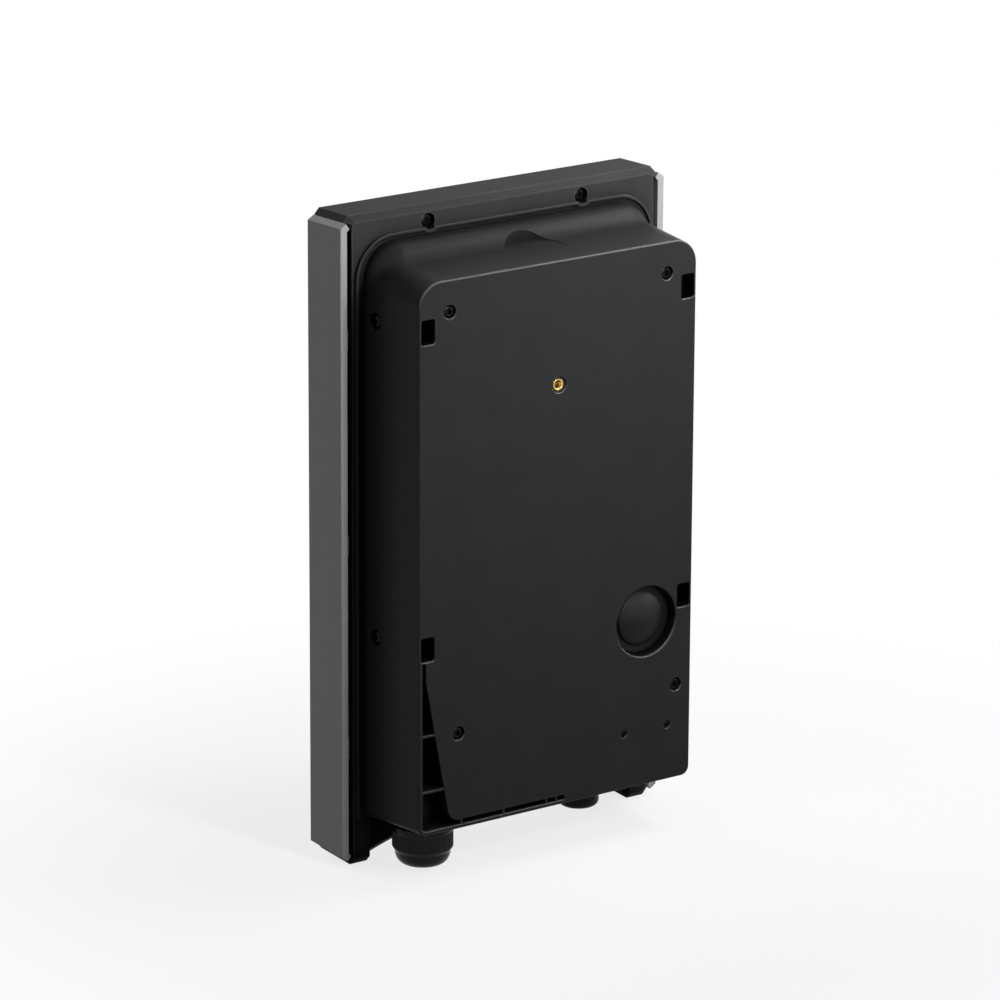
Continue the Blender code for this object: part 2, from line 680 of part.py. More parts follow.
def ring_lip_outline():
    """The raised lip: down both sides and over the top of the housing, open at the foot."""
    inner_half = RING_LIP_HALF_WIDTH - RING_LIP_WIDTH
    inner_radius = RING_LIP_RADIUS - RING_LIP_WIDTH
    centre_x = RING_LIP_HALF_WIDTH - RING_LIP_RADIUS
    centre_z = RING_LIP_TOP_Z - RING_LIP_RADIUS
    outer = arc(centre_x, centre_z, RING_LIP_RADIUS, 0, 90, CORNER_STEPS)
    inner = arc(centre_x, centre_z, inner_radius, 0, 90, CORNER_STEPS)
    foot = [(inner_half, RING_LIP_FOOT_Z), (RING_LIP_HALF_WIDTH, RING_LIP_FOOT_Z)]
    return (
        foot + outer + [(-x, z) for x, z in reversed(outer)]
        + [(-x, z) for x, z in reversed(foot)] + [(-x, z) for x, z in inner] + list(reversed(inner))
    )


def add_frame_screw_seat(frame, side, x):
    """A recess that the lip bulges round, with a boss behind it."""
    boss_depth = FRAME_BOSS_DEPTH - FRAME_RECESS_DEPTH + OVERSHOOT
    bulge = arc(x, FRAME_SCREW_Z, LIP_BULGE_RADIUS, *LIP_BULGE_ANGLES, SMALL_ROUND)
    fuse(frame, f"lip_bulge_{side}", prism(
        bulge, SLAB_REAR_Y - LIP_BULGE_SINK, SLAB_REAR_Y + RING_LIP_HEIGHT - LIP_BULGE_STEP
    ))
    fuse(frame, f"boss_{side}", moved(
        rod(FRAME_BOSS_RADIUS, OVERSHOOT / 2, FRAME_BOSS_DEPTH, SMALL_ROUND),
        (x, SLAB_REAR_Y, FRAME_SCREW_Z), "-Y"
    ))
    hole = M3_SHAFT_RADIUS + SCREW_HOLE_CLEARANCE
    beyond = FRAME_RECESS_DEPTH + RING_LIP_HEIGHT + OVERSHOOT
    cut(frame, f"recess_{side}", moved(turned([
        (0, -boss_depth), (hole, -boss_depth), (hole, 0),
        (FRAME_RECESS_RADIUS, 0), (FRAME_RECESS_RADIUS, beyond), (0, beyond),
    ]), (x, SLAB_REAR_Y - FRAME_RECESS_DEPTH, FRAME_SCREW_Z), "+Y"))


def add_lug(frame, name, sign, z):
    """A lug that stands into the housing and takes a side screw."""
    outer = HOUSING_HALF_WIDTH - SIDE_BOSS_DEPTH - GAP
    low_x, high_x = sorted((sign * (outer - LUG_DEPTH), sign * outer))
    fuse(frame, name, box(
        (low_x, SLAB_REAR_Y - LUG_ROOT, z - LUG_HALF_HEIGHT),
        (high_x, SLAB_REAR_Y + LUG_RISE, z + LUG_HALF_HEIGHT),
    ))
    hole = rod(M3_SHAFT_RADIUS + SCREW_HOLE_CLEARANCE, -LUG_DEPTH - OVERSHOOT, OVERSHOOT, COARSE_ROUND)
    cut(frame, name + "_hole", moved(hole, (sign * outer, SIDE_SCREW_Y, z), "+X" if sign > 0 else "-X"))


def make_front_panel(materials):
    """The front cover, with screw bosses, posts for the control board and the light's opening."""
    edge = CAVITY_HALF_WIDTH - GAP
    panel = as_object("front_panel", prism([
        (-edge, CHIN_TOP_Z + GAP), (edge, CHIN_TOP_Z + GAP),
        (edge, CAVITY_TOP_Z - GAP), (-edge, CAVITY_TOP_Z - GAP),
    ], SLAB_FRONT_Y, PANEL_REAR_Y), materials["gloss_black"])
    sunk = -PANEL_THICKNESS / 4
    boss_end = SLAB_REAR_Y - FRAME_BOSS_DEPTH - GAP
    boss_z = CAVITY_TOP_Z - PANEL_BOSS_MARGIN - PANEL_BOSS_RADIUS
    pin_end = CONTROL_POST_LENGTH + CONTROL_BOARD_THICKNESS + GAP + SPACER_PIN_END
    post = [
        (0, sunk), (CONTROL_POST_RADIUS, sunk), (CONTROL_POST_RADIUS, CONTROL_POST_LENGTH),
        (SPACER_PIN_RADIUS, CONTROL_POST_LENGTH), (SPACER_PIN_RADIUS, pin_end), (0, pin_end),
    ]
    risers = [
        moved(turned(post, SMALL_ROUND), (x, PANEL_REAR_Y, z), "+Y") for x, z in control_post_places()
    ]
    boss_x = (FRAME_SCREW_X, -FRAME_SCREW_X)
    for x in boss_x:
        boss = rod(PANEL_BOSS_RADIUS, sunk, boss_end - PANEL_REAR_Y, SMALL_ROUND)
        risers.append(moved(boss, (x, PANEL_REAR_Y, boss_z), "+Y"))
    fuse(panel, "risers", joined(*risers))
    hole = M3_SHAFT_RADIUS + SCREW_HOLE_CLEARANCE
    holes = [
        moved(rod(hole, -FRAME_SCREW_LENGTH, OVERSHOOT, SMALL_ROUND), (x, boss_end, FRAME_SCREW_Z), "+Y")
        for x in boss_x
    ]
    holes.append(prism(light_outline(GAP), SLAB_FRONT_Y - OVERSHOOT, PANEL_REAR_Y + OVERSHOOT))
    cut(panel, "holes", joined(*holes))
    return panel


def control_post_places():
    reach = CONTROL_BOARD_HALF_WIDTH - CONTROL_POST_INSET
    low, high = CONTROL_BOARD_Z
    return [(x, z) for x in (-reach, reach) for z in (low + CONTROL_POST_INSET, high - CONTROL_POST_INSET)]


def light_outline(grow):
    half = LIGHT_LENGTH / 2 - LIGHT_HEIGHT / 2
    radius = LIGHT_HEIGHT / 2 + grow
    return arc(half, LIGHT_Z, radius, -90, 90, 8) + arc(-half, LIGHT_Z, radius, 90, 270, 8)


def make_status_light(materials):
    return as_object("status_light", prism(
        light_outline(0), SLAB_FRONT_Y, PANEL_REAR_Y + LIGHT_STAND
    ), materials["light_guide"])


def make_trim(name, sign, materials):
    """One side trim: a flat bar with sloped ends, a spur under the frame's lip, and tabs inwards."""
    def ring(y, inset):
        half_height = slab_half_height(min(y, SLAB_REAR_Y - REAR_BEVEL)) - inset
        half = [
            (TRIM_INNER_X, half_height - TRIM_SPUR_ROOT_DROP),
            (TRIM_SPUR_X, half_height - TRIM_SPUR_DROP),
            (TRIM_INNER_X + TRIM_SHOULDER_WIDTH, half_height - TRIM_SHOULDER_DROP),
            (TRIM_OUTER_X - inset, half_height - TRIM_END_DROP),
        ]
        outline = half + [(x, -z) for x, z in reversed(half)]
        return [(sign * x, y, z) for x, z in outline]

    trim = as_object(name, loft([
        ring(SLAB_FRONT_Y, TRIM_BEVEL),
        ring(SLAB_FRONT_Y + TRIM_BEVEL, 0),
        ring(SLAB_REAR_Y - REAR_BEVEL, 0),
        ring(SLAB_REAR_Y - TRIM_BEVEL, 0),
        ring(SLAB_REAR_Y, TRIM_BEVEL),
    ]), materials["aluminium"])
    low_x, high_x = sorted((sign * (FRAME_HALF_WIDTH + GAP), sign * (TRIM_INNER_X + TRIM_THICKNESS / 4)))
    fuse(trim, "tabs", joined(*[
        box(
            (low_x, TRIM_TAB_REAR_Y - TRIM_TAB_DEPTH, z - TRIM_TAB_LENGTH / 2),
            (high_x, TRIM_TAB_REAR_Y, z + TRIM_TAB_LENGTH / 2),
        )
        for z in (TRIM_TAB_PITCH, 0, -TRIM_TAB_PITCH)
    ]))
    return trim


# Rear housing
def sigmoid(value):
    return 1 / (1 + math.exp(-value))


def housing_ring(depth, inset=0.0, late=0.0):
    """One section of the housing, depth mm in from the wall face and inset mm inside its skin.

    The lower body keeps its own round corners, and the shoulder swells from it to the wider root. At the
    corners the swell starts nearer to the root, which leaves a valley that fades into the side wall.
    """
    half_width = HOUSING_HALF_WIDTH + HOUSING_SIDE_DRAFT * depth - inset
    bottom = HOUSING_BOTTOM_Z - HOUSING_BOTTOM_SLOPE * depth + inset
    top = HOUSING_TOP_Z + HOUSING_SHELF_SLOPE * depth - inset
    bottom_radius = max(HOUSING_BOTTOM_RADIUS - inset, HOUSING_BOTTOM_RADIUS / 4)
    body = round_rectangle(half_width, bottom, top, bottom_radius, HOUSING_TOP_RADIUS - inset)
    root = round_rectangle(
        half_width + ROOT_FLARE, bottom, top + SHOULDER_HEIGHT, bottom_radius, ROOT_TOP_RADIUS - inset
    )
    ring = []
    for index, (low, high) in enumerate(zip(body, root)):
        steps_from_side = min(index, 2 * CORNER_STEPS + 1 - index)
        share = max(0.0, min(1.0, steps_from_side / CORNER_STEPS))
        start = SHOULDER_DEPTH + SHOULDER_CORNER_DELAY * (1 - share) + late
        swell = sigmoid((depth - start) / SHOULDER_SOFTNESS)
        ring.append((low[0] + (high[0] - low[0]) * swell, -depth, low[1] + (high[1] - low[1]) * swell))
    return ring


def shoulder_depths(first, last, sections=SHOULDER_SECTIONS):
    """Depths of the housing's sections: two plain ends, and close steps where the shoulder swells."""
    return [first, *[SHOULDER_DEPTH + SHOULDER_SOFTNESS * section for section in sections], last]


def pocket_outline(grow):
    """The cut-away corner seen from the wall side: the corner itself and the slit along the foot."""
    side, foot = HOUSING_HALF_WIDTH, HOUSING_BOTTOM_Z
    outer = side - POCKET_SIDE_WALL + grow
    bottom = foot + POCKET_FOOT_WALL - grow
    slit_z = foot + POCKET_SLIT_RISE + grow
    slit_x = side - POCKET_SLIT_END_INSET - grow
    edge = [(side - inset - grow, foot + rise) for inset, rise in POCKET_EDGE]
    corner = (side - POCKET_ROUND_CORNER_INSET - grow, slit_z)
    end = (side - POCKET_ROUND_END_INSET - grow, slit_z)
    foot_radius = HOUSING_BOTTOM_RADIUS - POCKET_FOOT_WALL
    outline = [(outer, foot + POCKET_TOP_RISE + grow), (edge[0][0], foot + POCKET_TOP_RISE + grow)]
    outline += edge
    outline += curve(edge[-1], corner, end, CORNER_STEPS)
    outline += [(slit_x, slit_z), (slit_x, bottom)]
    outline += arc(outer - foot_radius, bottom + foot_radius, foot_radius, 270, 360, DOME_STEPS)
    return outline


def make_pocket():
    """The space of the cut-away corner, parted by its ribs."""
    pocket = as_object("pocket", prism(pocket_outline(0), -POCKET_DEPTH, OVERSHOOT))
    half = POCKET_RIB / 2
    low_y, high_y = -POCKET_DEPTH - OVERSHOOT, 2 * OVERSHOOT
    side, foot = HOUSING_HALF_WIDTH, HOUSING_BOTTOM_Z
    slit_high_z = foot + 2 * POCKET_SLIT_RISE
    for number, rise in enumerate(POCKET_RIBS_RISE):
        rib = box((0, low_y, foot + rise - half), (side, high_y, foot + rise + half))
        cut(pocket, f"rib_{number}", rib)
    for number, inset in enumerate(POCKET_RIBS_INSET):
        rib = box((side - inset - half, low_y, foot), (side - inset + half, high_y, slit_high_z))
        cut(pocket, f"slit_rib_{number}", rib)
    return pocket


def slot_box(x, z, grow=0.0, deeper=0.0):
    """The space of one hook slot."""
    half_width = SLOT_WIDTH / 2 + grow
    half_height = SLOT_HEIGHT / 2 + grow
    outline = round_rectangle(half_width, -half_height, half_height, SLOT_CORNER, SLOT_CORNER, 4)
    return prism([(x + px, z + pz) for px, pz in outline], -SLOT_DEPTH - deeper, OVERSHOOT)


def recess(radius, depth, hole_radius, hole_depth, chamfer=RECESS_CHAMFER, segments=COARSE_ROUND):
    """A cutter along +Z from a hole's end up through a recess with a chamfered rim at height 0."""
    wide = radius + chamfer + OVERSHOOT
    return turned([
        (0, -hole_depth), (hole_radius, -hole_depth), (hole_radius, -depth), (radius, -depth),
        (radius, -chamfer), (wide, OVERSHOOT), (wide, 2 * OVERSHOOT), (0, 2 * OVERSHOOT),
    ], segments)


def wall_boss(radius, depth, x, z, segments=SMALL_ROUND):
    """The solid of a boss behind the wall face."""
    return moved(rod(radius, -OVERSHOOT, depth, segments), (x, 0, z), "-Y")


def make_housing_core():
    """The hollow of the housing, with the solid left for its bosses, slots and pockets taken out of it."""
    depths = shoulder_depths(HOUSING_BACK_WALL, OVERSHOOT - HOUSING_ROOT_Y, SHOULDER_SECTIONS[1::2])
    core = as_object("housing_core", loft([
        housing_ring(depth, HOUSING_WALL, SHOULDER_INNER_DELAY) for depth in depths
    ]))
    scoop_top = SHOULDER_HEIGHT + 2 * HOUSING_WALL
    scoop_floor = moved(
        rod(SCOOP_RADIUS + HOUSING_WALL, -HOUSING_WALL, scoop_top), (0, SCOOP_CENTRE_Y, SCOOP_FLOOR_Z)
    )
    entry_wall = wall_boss(
        ENTRY_RECESS_RADIUS + ENTRY_WALL, ENTRY_RECESS_DEPTH + ENTRY_FLOOR, ENTRY_X, ENTRY_Z, ROUND
    )
    pocket_wall = prism(pocket_outline(POCKET_WALL), -POCKET_DEPTH - POCKET_WALL, OVERSHOOT)
    cut(core, "wide_walls", joined(scoop_floor, entry_wall, pocket_wall))
    clamp_boss = SMALL_HEAD_RADIUS + GAP + CLAMP_BOSS_WALL
    bosses = [slot_box(x, z, SLOT_WALL, SLOT_WALL) for x, z in HOOK_SLOTS]
    bosses += [wall_boss(PLATE_BOSS_RADIUS, PLATE_BOSS_DEPTH, x, z) for x, z in PLATE_SCREWS]
    bosses += [wall_boss(clamp_boss, CLAMP_BOSS_DEPTH, x, z) for x, z in CLAMP_SCREWS]
    bosses.append(wall_boss(
        INSERT_BOSS_RADIUS, INSERT_SINK + INSERT_LENGTH + INSERT_BOSS_FLOOR, 0, INSERT_Z
    ))
    cut(core, "bosses", joined(*bosses))
    seats = [
        moved(rod(radius + SEAT_WALL, -2 * SEAT_BOSS_RISE, SEAT_BOSS_RISE), (x, GLAND_Y, SEAT_Z))
        for x, radius in ((GLAND_X, SEAT_RADIUS), (BLANK_X, BLANK_RADIUS + BLANK_SEAT_CLEARANCE))
    ]
    front, rear = SIDE_BOSS_REACH
    for sign in (1, -1):
        inner = HOUSING_HALF_WIDTH - SIDE_BOSS_DEPTH
        low_x, high_x = sorted((sign * inner, sign * (inner + 2 * SIDE_BOSS_DEPTH)))
        seats += [
            box((low_x, SIDE_SCREW_Y - front, z - LUG_HALF_HEIGHT),
                (high_x, SIDE_SCREW_Y + rear, z + LUG_HALF_HEIGHT))
            for z in SIDE_SCREWS_Z
        ]
    cut(core, "seats", joined(*seats))
    return core


def make_scoop():
    """A round scoop from above whose sloping floor runs out into the shelf."""
    ring = arc(0, SCOOP_CENTRE_Y, SCOOP_RADIUS, 0, 360 - 360 / FINE_ROUND, FINE_ROUND - 1)
    floor = [(x, y, SCOOP_FLOOR_Z + SCOOP_FLOOR_SLOPE * (SCOOP_CENTRE_Y - y)) for x, y in ring]
    return loft([floor, [(x, y, HOUSING_TOP_Z + 3 * SHOULDER_HEIGHT) for x, y in ring]])


def cut_with(target, name, helper):
    """Cuts a body with a helper that has cutters of its own."""
    helper.hide_render = True
    helper.display_type = "WIRE"
    modifier = target.modifiers.new(name, "BOOLEAN")
    modifier.operation = "DIFFERENCE"
    modifier.solver = "EXACT"
    modifier.object = helper


def make_rear_housing(materials):
    """The rear moulding: wall face, swept shoulder, scoop, slots, cut-away corner and cable entries."""
    rings = [housing_ring(0, HOUSING_RIM_BEVEL)]
    rings += [housing_ring(depth) for depth in shoulder_depths(HOUSING_RIM_BEVEL, -HOUSING_ROOT_Y)]
    housing = as_object("rear_housing", loft(rings), materials["black_plastic"])
    cut_with(housing, "core", make_housing_core())
    cut(housing, "scoop", make_scoop())
    cut_with(housing, "pocket", make_pocket())
    cut(housing, "slots", joined(*[slot_box(x, z) for x, z in HOOK_SLOTS]))
    holes = wall_face_holes() + side_wall_holes()
    holes.append(moved(
        bottom_entry(GLAND_THREAD_RADIUS + GAP, SEAT_RADIUS), (GLAND_X, GLAND_Y, SEAT_Z), "-Z"
    ))
    holes.append(moved(
        bottom_entry(BLANK_STEM_RADIUS + GAP, BLANK_RADIUS + BLANK_SEAT_CLEARANCE),
        (BLANK_X, GLAND_Y, SEAT_Z), "-Z"
    ))
    cut(housing, "holes", joined(*holes))
    return housing


def wall_face_holes():
    """Cutters for the screws, the insert and the cable entry in the wall face."""
    plate = (M3_HEAD_RADIUS + RECESS_CLEARANCE, PLATE_RECESS_DEPTH,
             M3_SHAFT_RADIUS + SCREW_HOLE_CLEARANCE, PLATE_BOSS_DEPTH + OVERSHOOT)
    clamp = (SMALL_HEAD_RADIUS + GAP, CLAMP_RECESS_DEPTH,
             SMALL_SHAFT_RADIUS + SCREW_HOLE_CLEARANCE, CLAMP_BOSS_DEPTH + OVERSHOOT,
             SMALL_RECESS_CHAMFER, SMALL_ROUND)
    insert = (INSERT_RECESS_RADIUS, INSERT_SINK, INSERT_RADIUS + GAP, INSERT_SINK + INSERT_LENGTH + GAP)
    entry = (ENTRY_RECESS_RADIUS, ENTRY_RECESS_DEPTH,
             ENTRY_HOLE_RADIUS, ENTRY_RECESS_DEPTH + ENTRY_FLOOR + OVERSHOOT, ENTRY_CHAMFER, FINE_ROUND)
    holes = [moved(recess(*plate), (x, 0, z), "+Y") for x, z in PLATE_SCREWS]
    holes += [moved(recess(*clamp), (x, 0, z), "+Y") for x, z in CLAMP_SCREWS]
    holes.append(moved(recess(*insert), (0, 0, INSERT_Z), "+Y"))
    holes.append(moved(recess(*entry), (ENTRY_X, 0, ENTRY_Z), "+Y"))
    return holes


def side_screw_seats():
    """Where the side screws enter the side walls, with the way that each hole opens."""
    side_x = HOUSING_HALF_WIDTH - HOUSING_SIDE_DRAFT * SIDE_SCREW_Y
    return [(sign, sign * side_x, z) for sign in (1, -1) for z in SIDE_SCREWS_Z]


def side_wall_holes():
    """Cutters for the four screws through the side walls."""
    head = M3_HEAD_RADIUS + RECESS_CLEARANCE
    hole = M3_SHAFT_RADIUS + SCREW_HOLE_CLEARANCE
    return [
        moved(recess(head, SIDE_RECESS_DEPTH, hole, SIDE_BOSS_DEPTH + OVERSHOOT),
              (x, SIDE_SCREW_Y, z), "+X" if sign > 0 else "-X")
        for sign, x, z in side_screw_seats()
    ]


def bottom_entry(hole_radius, seat_radius):
    """A hole up through the foot of the housing, with a flat seat cut square to it."""
    hole_end = SEAT_BOSS_RISE + HOUSING_WALL + OVERSHOOT
    return turned([
        (0, -hole_end), (hole_radius, -hole_end), (hole_radius, 0),
        (seat_radius, 0), (seat_radius, hole_end), (0, hole_end),
    ])


def make_housing_seal(materials):
    """A flat seal between the housing's foot and the frame, seen in the groove inside the lip."""
    root = -HOUSING_ROOT_Y
    side = HOUSING_HALF_WIDTH + HOUSING_SIDE_DRAFT * root + ROOT_FLARE
    top = HOUSING_TOP_Z + HOUSING_SHELF_SLOPE * root + SHOULDER_HEIGHT
    outer_half = side + SEAL_OVERHANG
    outer_top = min(top + SEAL_OVERHANG, RING_LIP_TOP_Z - RING_LIP_WIDTH - LIP_BULGE_RADIUS / 4)
    bottom = FOOT_RECESS_TOP_Z + GAP
    low, high = SLAB_REAR_Y + GAP, SLAB_REAR_Y + GAP + SEAL_THICKNESS
    seal = as_object("housing_seal", prism(
        round_rectangle(outer_half, bottom, outer_top, HOUSING_BOTTOM_RADIUS, ROOT_TOP_RADIUS), low, high
    ), materials["rubber"])
    cut(seal, "inside", prism(
        round_rectangle(outer_half - SEAL_WIDTH, bottom + SEAL_FOOT_WIDTH, top - SEAL_WIDTH + SEAL_OVERHANG,
                        HOUSING_BOTTOM_RADIUS, ROOT_TOP_RADIUS - SEAL_WIDTH),
        low - OVERSHOOT, high + OVERSHOOT
    ))
    return seal


# Fasteners
def screw_mesh(name, head_radius, head_height, shaft_radius, length, socket_radius, material_used):
    """A pan-head screw along +Z with its head at the top and a hex socket, seated at height 0."""
    rounding = head_height * HEAD_ROUNDING
    whole = as_object(name + "_whole", turned([
        (0, -length), (shaft_radius, -length), (shaft_radius, 0), (head_radius, 0),
        (head_radius, head_height - rounding), (head_radius - rounding, head_height), (0, head_height),
    ], SMALL_ROUND), material_used)
    socket_floor = head_height * (1 - SOCKET_DEPTH_SHARE)
    cut(whole, "socket", rod(socket_radius, socket_floor, head_height + OVERSHOOT, 6))
    return evaluated_mesh(whole, name)


def evaluated_mesh(obj, name):
    """The mesh of an object with its modifiers, and without the object and its helpers."""
    graph = bpy.context.evaluated_depsgraph_get()
    mesh = bpy.data.meshes.new_from_object(obj.evaluated_get(graph))
    mesh.name = name
    for modifier in list(obj.modifiers):
        bpy.data.objects.remove(modifier.object)
    bpy.data.objects.remove(obj)
    return mesh


def make_screws(materials):
    """All screws. Those of one kind share a mesh."""
    m3 = (M3_HEAD_RADIUS, M3_HEAD_HEIGHT, M3_SHAFT_RADIUS)
    steel = materials["black_screw"]
    plate = screw_mesh("plate_screw", *m3, PLATE_SCREW_LENGTH, M3_SOCKET_RADIUS, steel)
    side = screw_mesh("side_screw", *m3, SIDE_SCREW_LENGTH, M3_SOCKET_RADIUS, steel)
    frame = screw_mesh("frame_screw", *m3, FRAME_SCREW_LENGTH, M3_SOCKET_RADIUS, steel)
    clamp = screw_mesh("clamp_screw", SMALL_HEAD_RADIUS, SMALL_HEAD_HEIGHT, SMALL_SHAFT_RADIUS,
                       CLAMP_SCREW_LENGTH, SMALL_SOCKET_RADIUS, steel)
    to_wall = (-math.pi / 2, 0, 0)
    for number, (x, z) in enumerate(PLATE_SCREWS, 1):
        place(f"plate_screw_{number}", plate, (x, GAP - PLATE_RECESS_DEPTH, z), to_wall)
    for number, (x, z) in enumerate(CLAMP_SCREWS, 1):
        place(f"clamp_screw_{number}", clamp, (x, GAP - CLAMP_RECESS_DEPTH, z), to_wall)
    frame_seat_y = SLAB_REAR_Y - FRAME_RECESS_DEPTH + GAP
    for number, x in enumerate((FRAME_SCREW_X, -FRAME_SCREW_X), 1):
        place(f"frame_screw_{number}", frame, (x, frame_seat_y, FRAME_SCREW_Z), to_wall)
    for number, (sign, x, z) in enumerate(side_screw_seats(), 1):
        seat_x = x - sign * (SIDE_RECESS_DEPTH - GAP)
        place(f"side_screw_{number}", side, (seat_x, SIDE_SCREW_Y, z), (0, sign * math.pi / 2, 0))


def make_brass_insert(materials):
    """A threaded insert with a groove round its middle and a chamfered mouth."""
    low, high = -INSERT_SINK - INSERT_LENGTH, -INSERT_SINK
    middle = (low + high) / 2
    waist = INSERT_RADIUS - INSERT_GROOVE
    half = INSERT_GROOVE_WIDTH / 2
    profile = [
        (INSERT_BORE_RADIUS, low), (waist, low), (INSERT_RADIUS, low + INSERT_GROOVE),
        (INSERT_RADIUS, middle - 2 * half), (waist, middle - half),
        (waist, middle + half), (INSERT_RADIUS, middle + 2 * half),
        (INSERT_RADIUS, high), (INSERT_BORE_RADIUS + INSERT_GROOVE, high),
        (INSERT_BORE_RADIUS, high - INSERT_GROOVE),
    ]
    body = turned(profile, COARSE_ROUND, closed=True)
    return as_object("brass_insert", moved(body, (0, 0, INSERT_Z), "+Y"), materials["brass"])


def make_entry_plug(materials):
    """A pressed-in rubber plug: a domed disc, a stepped rim that sits in the recess, and a snap bead."""
    rim = ENTRY_RECESS_RADIUS - GAP
    seat = -ENTRY_RECESS_DEPTH + GAP
    neck = ENTRY_HOLE_RADIUS - GAP
    inside = -ENTRY_RECESS_DEPTH - ENTRY_FLOOR - GAP
    top = -ENTRY_DISC_SINK
    disc_edge = top - ENTRY_DISC_DOME
    rim_top = disc_edge - ENTRY_DISC_STEP
    hollow = neck - ENTRY_PLUG_WALL
    hollow_top = rim_top - ENTRY_FLOOR
    profile = [
        (0, top), (ENTRY_DISC_RADIUS / 2, top - ENTRY_DISC_DOME / 8),
        (ENTRY_DISC_RADIUS - ENTRY_DISC_STEP, (top + disc_edge) / 2), (ENTRY_DISC_RADIUS, disc_edge),
        (ENTRY_DISC_RADIUS, rim_top), (rim - 2 * ENTRY_DISC_STEP, rim_top), (rim, rim_top - ENTRY_DISC_STEP),
        (rim, seat), (neck, seat), (neck, inside), (neck + ENTRY_BEAD, inside - ENTRY_BEAD / 2),
        (neck - ENTRY_BEAD, inside - ENTRY_BEAD_HEIGHT), (hollow, inside - ENTRY_BEAD_HEIGHT),
        (hollow, hollow_top), (0, hollow_top),
    ]
    plug = moved(turned(profile), (ENTRY_X, 0, ENTRY_Z), "+Y")
    return as_object("entry_plug", plug, materials["rubber"])


# Gland
def at_gland(bm):
    return moved(bm, (GLAND_X, GLAND_Y, 0))


def make_gland_gasket(materials):
    high = SEAT_Z - GAP
    ring = tube(
        GLAND_HEX_RADIUS - GLAND_GASKET_INSET, GLAND_THREAD_RADIUS + GAP, high - GLAND_GASKET_HEIGHT, high
    )
    return as_object("gland_gasket", at_gland(ring), materials["rubber"])


def make_gland_body(materials):
    """The fixed half: a thread up into the housing, a hex flange and a neck that holds the sleeve."""
    thread_end = SEAT_Z + GLAND_THREAD_LENGTH
    chamfer = GLAND_CHAMFER
    flange_foot = HEX_BOTTOM_Z + GAP
    body = as_object("gland_body", at_gland(turned([
        (GLAND_BORE_RADIUS, NECK_END_Z), (GLAND_NECK_RADIUS - chamfer, NECK_END_Z),
        (GLAND_NECK_RADIUS, NECK_END_Z + chamfer), (GLAND_NECK_RADIUS, flange_foot),
        (GLAND_THREAD_RADIUS, flange_foot + GLAND_NECK_TAPER), (GLAND_THREAD_RADIUS, thread_end - chamfer),
        (GLAND_THREAD_RADIUS - chamfer, thread_end), (GLAND_THROAT_RADIUS, thread_end),
        (GLAND_THROAT_RADIUS, HEX_BOTTOM_Z), (GLAND_BORE_RADIUS, HEX_BOTTOM_Z - GLAND_THROAT_STEP),
    ], closed=True)), materials["gland_nylon"])
    hexagon = tube(GLAND_HEX_RADIUS, GLAND_THREAD_RADIUS - GAP / 2, HEX_BOTTOM_Z, HEX_TOP_Z, 6)
    fuse(body, "hexagon", at_gland(hexagon))
    return body


def make_gland_sleeve(materials):
    """The rubber sleeve that grips the cable. Its flange lies between the neck's end and the nut."""
    outer = GLAND_BORE_RADIUS - GAP
    top = HEX_BOTTOM_Z - GLAND_THROAT_STEP - GAP
    flange_top = NECK_END_Z - GAP
    flange_end = flange_top - SLEEVE_FLANGE
    sleeve = turned([
        (SLEEVE_BORE_RADIUS, flange_end), (SLEEVE_CONE_RADIUS, flange_end),
        (SLEEVE_FLANGE_RADIUS, flange_end + SLEEVE_CONE), (SLEEVE_FLANGE_RADIUS, flange_top),
        (outer, flange_top), (outer, top), (SLEEVE_BORE_RADIUS, top),
    ], closed=True)
    return as_object("gland_sleeve", at_gland(sleeve), materials["rubber"])


def ribbed_circle(radius, z, rib_depth=0.0):
    """A circle whose every other point may lie deeper, which makes upright ribs."""
    around = NUT_RIBS * 2
    points = []
    for step in range(around):
        angle = math.tau * step / around
        reach = radius - rib_depth * (step % 2)
        points.append((reach * math.cos(angle), reach * math.sin(angle), z))
    return points


def make_gland_nut(materials):
    """The ribbed cap nut, turned by hand: a round collar, the ribbed grip, and a dome round the mouth."""
    rounding = NUT_COLLAR_ROUNDING
    collar_end = NUT_TOP_Z - NUT_COLLAR_HEIGHT
    grip_end = collar_end - NUT_GRIP_HEIGHT
    shoulder_z = grip_end - NUT_SHOULDER_DROP
    outside = [
        ribbed_circle(NUT_RADIUS - rounding, NUT_TOP_Z),
        ribbed_circle(NUT_RADIUS, NUT_TOP_Z - rounding),
        ribbed_circle(NUT_RADIUS, collar_end + NUT_RIB_DEPTH),
        ribbed_circle(NUT_RADIUS, collar_end, NUT_RIB_DEPTH),
        ribbed_circle(NUT_RADIUS, grip_end, NUT_RIB_DEPTH),
        ribbed_circle(NUT_SHOULDER_RADIUS, shoulder_z),
    ]
    dome_height = shoulder_z - NUT_END_Z
    dome_reach = NUT_SHOULDER_RADIUS - NUT_MOUTH_RADIUS - NUT_MOUTH_WALL
    for step in range(1, DOME_STEPS + 1):
        angle = math.pi / 2 * step / DOME_STEPS
        radius = NUT_SHOULDER_RADIUS - dome_reach * (1 - math.cos(angle))
        outside.append(ribbed_circle(radius, shoulder_z - dome_height * math.sin(angle)))
    nut = as_object("gland_nut", at_gland(loft(outside)), materials["gland_nylon"])
    cone_z = NECK_END_Z - 2 * GAP - SLEEVE_FLANGE
    low, high = NUT_END_Z - OVERSHOOT, NUT_TOP_Z + OVERSHOOT
    cut(nut, "bore", at_gland(turned([
        (0, low), (NUT_MOUTH_RADIUS, low), (NUT_MOUTH_RADIUS, cone_z - GAP), (SLEEVE_CONE_RADIUS, cone_z),
        (NUT_INNER_RADIUS, cone_z + SLEEVE_CONE + 2 * GAP), (NUT_INNER_RADIUS, high), (0, high),
    ])))
    return nut


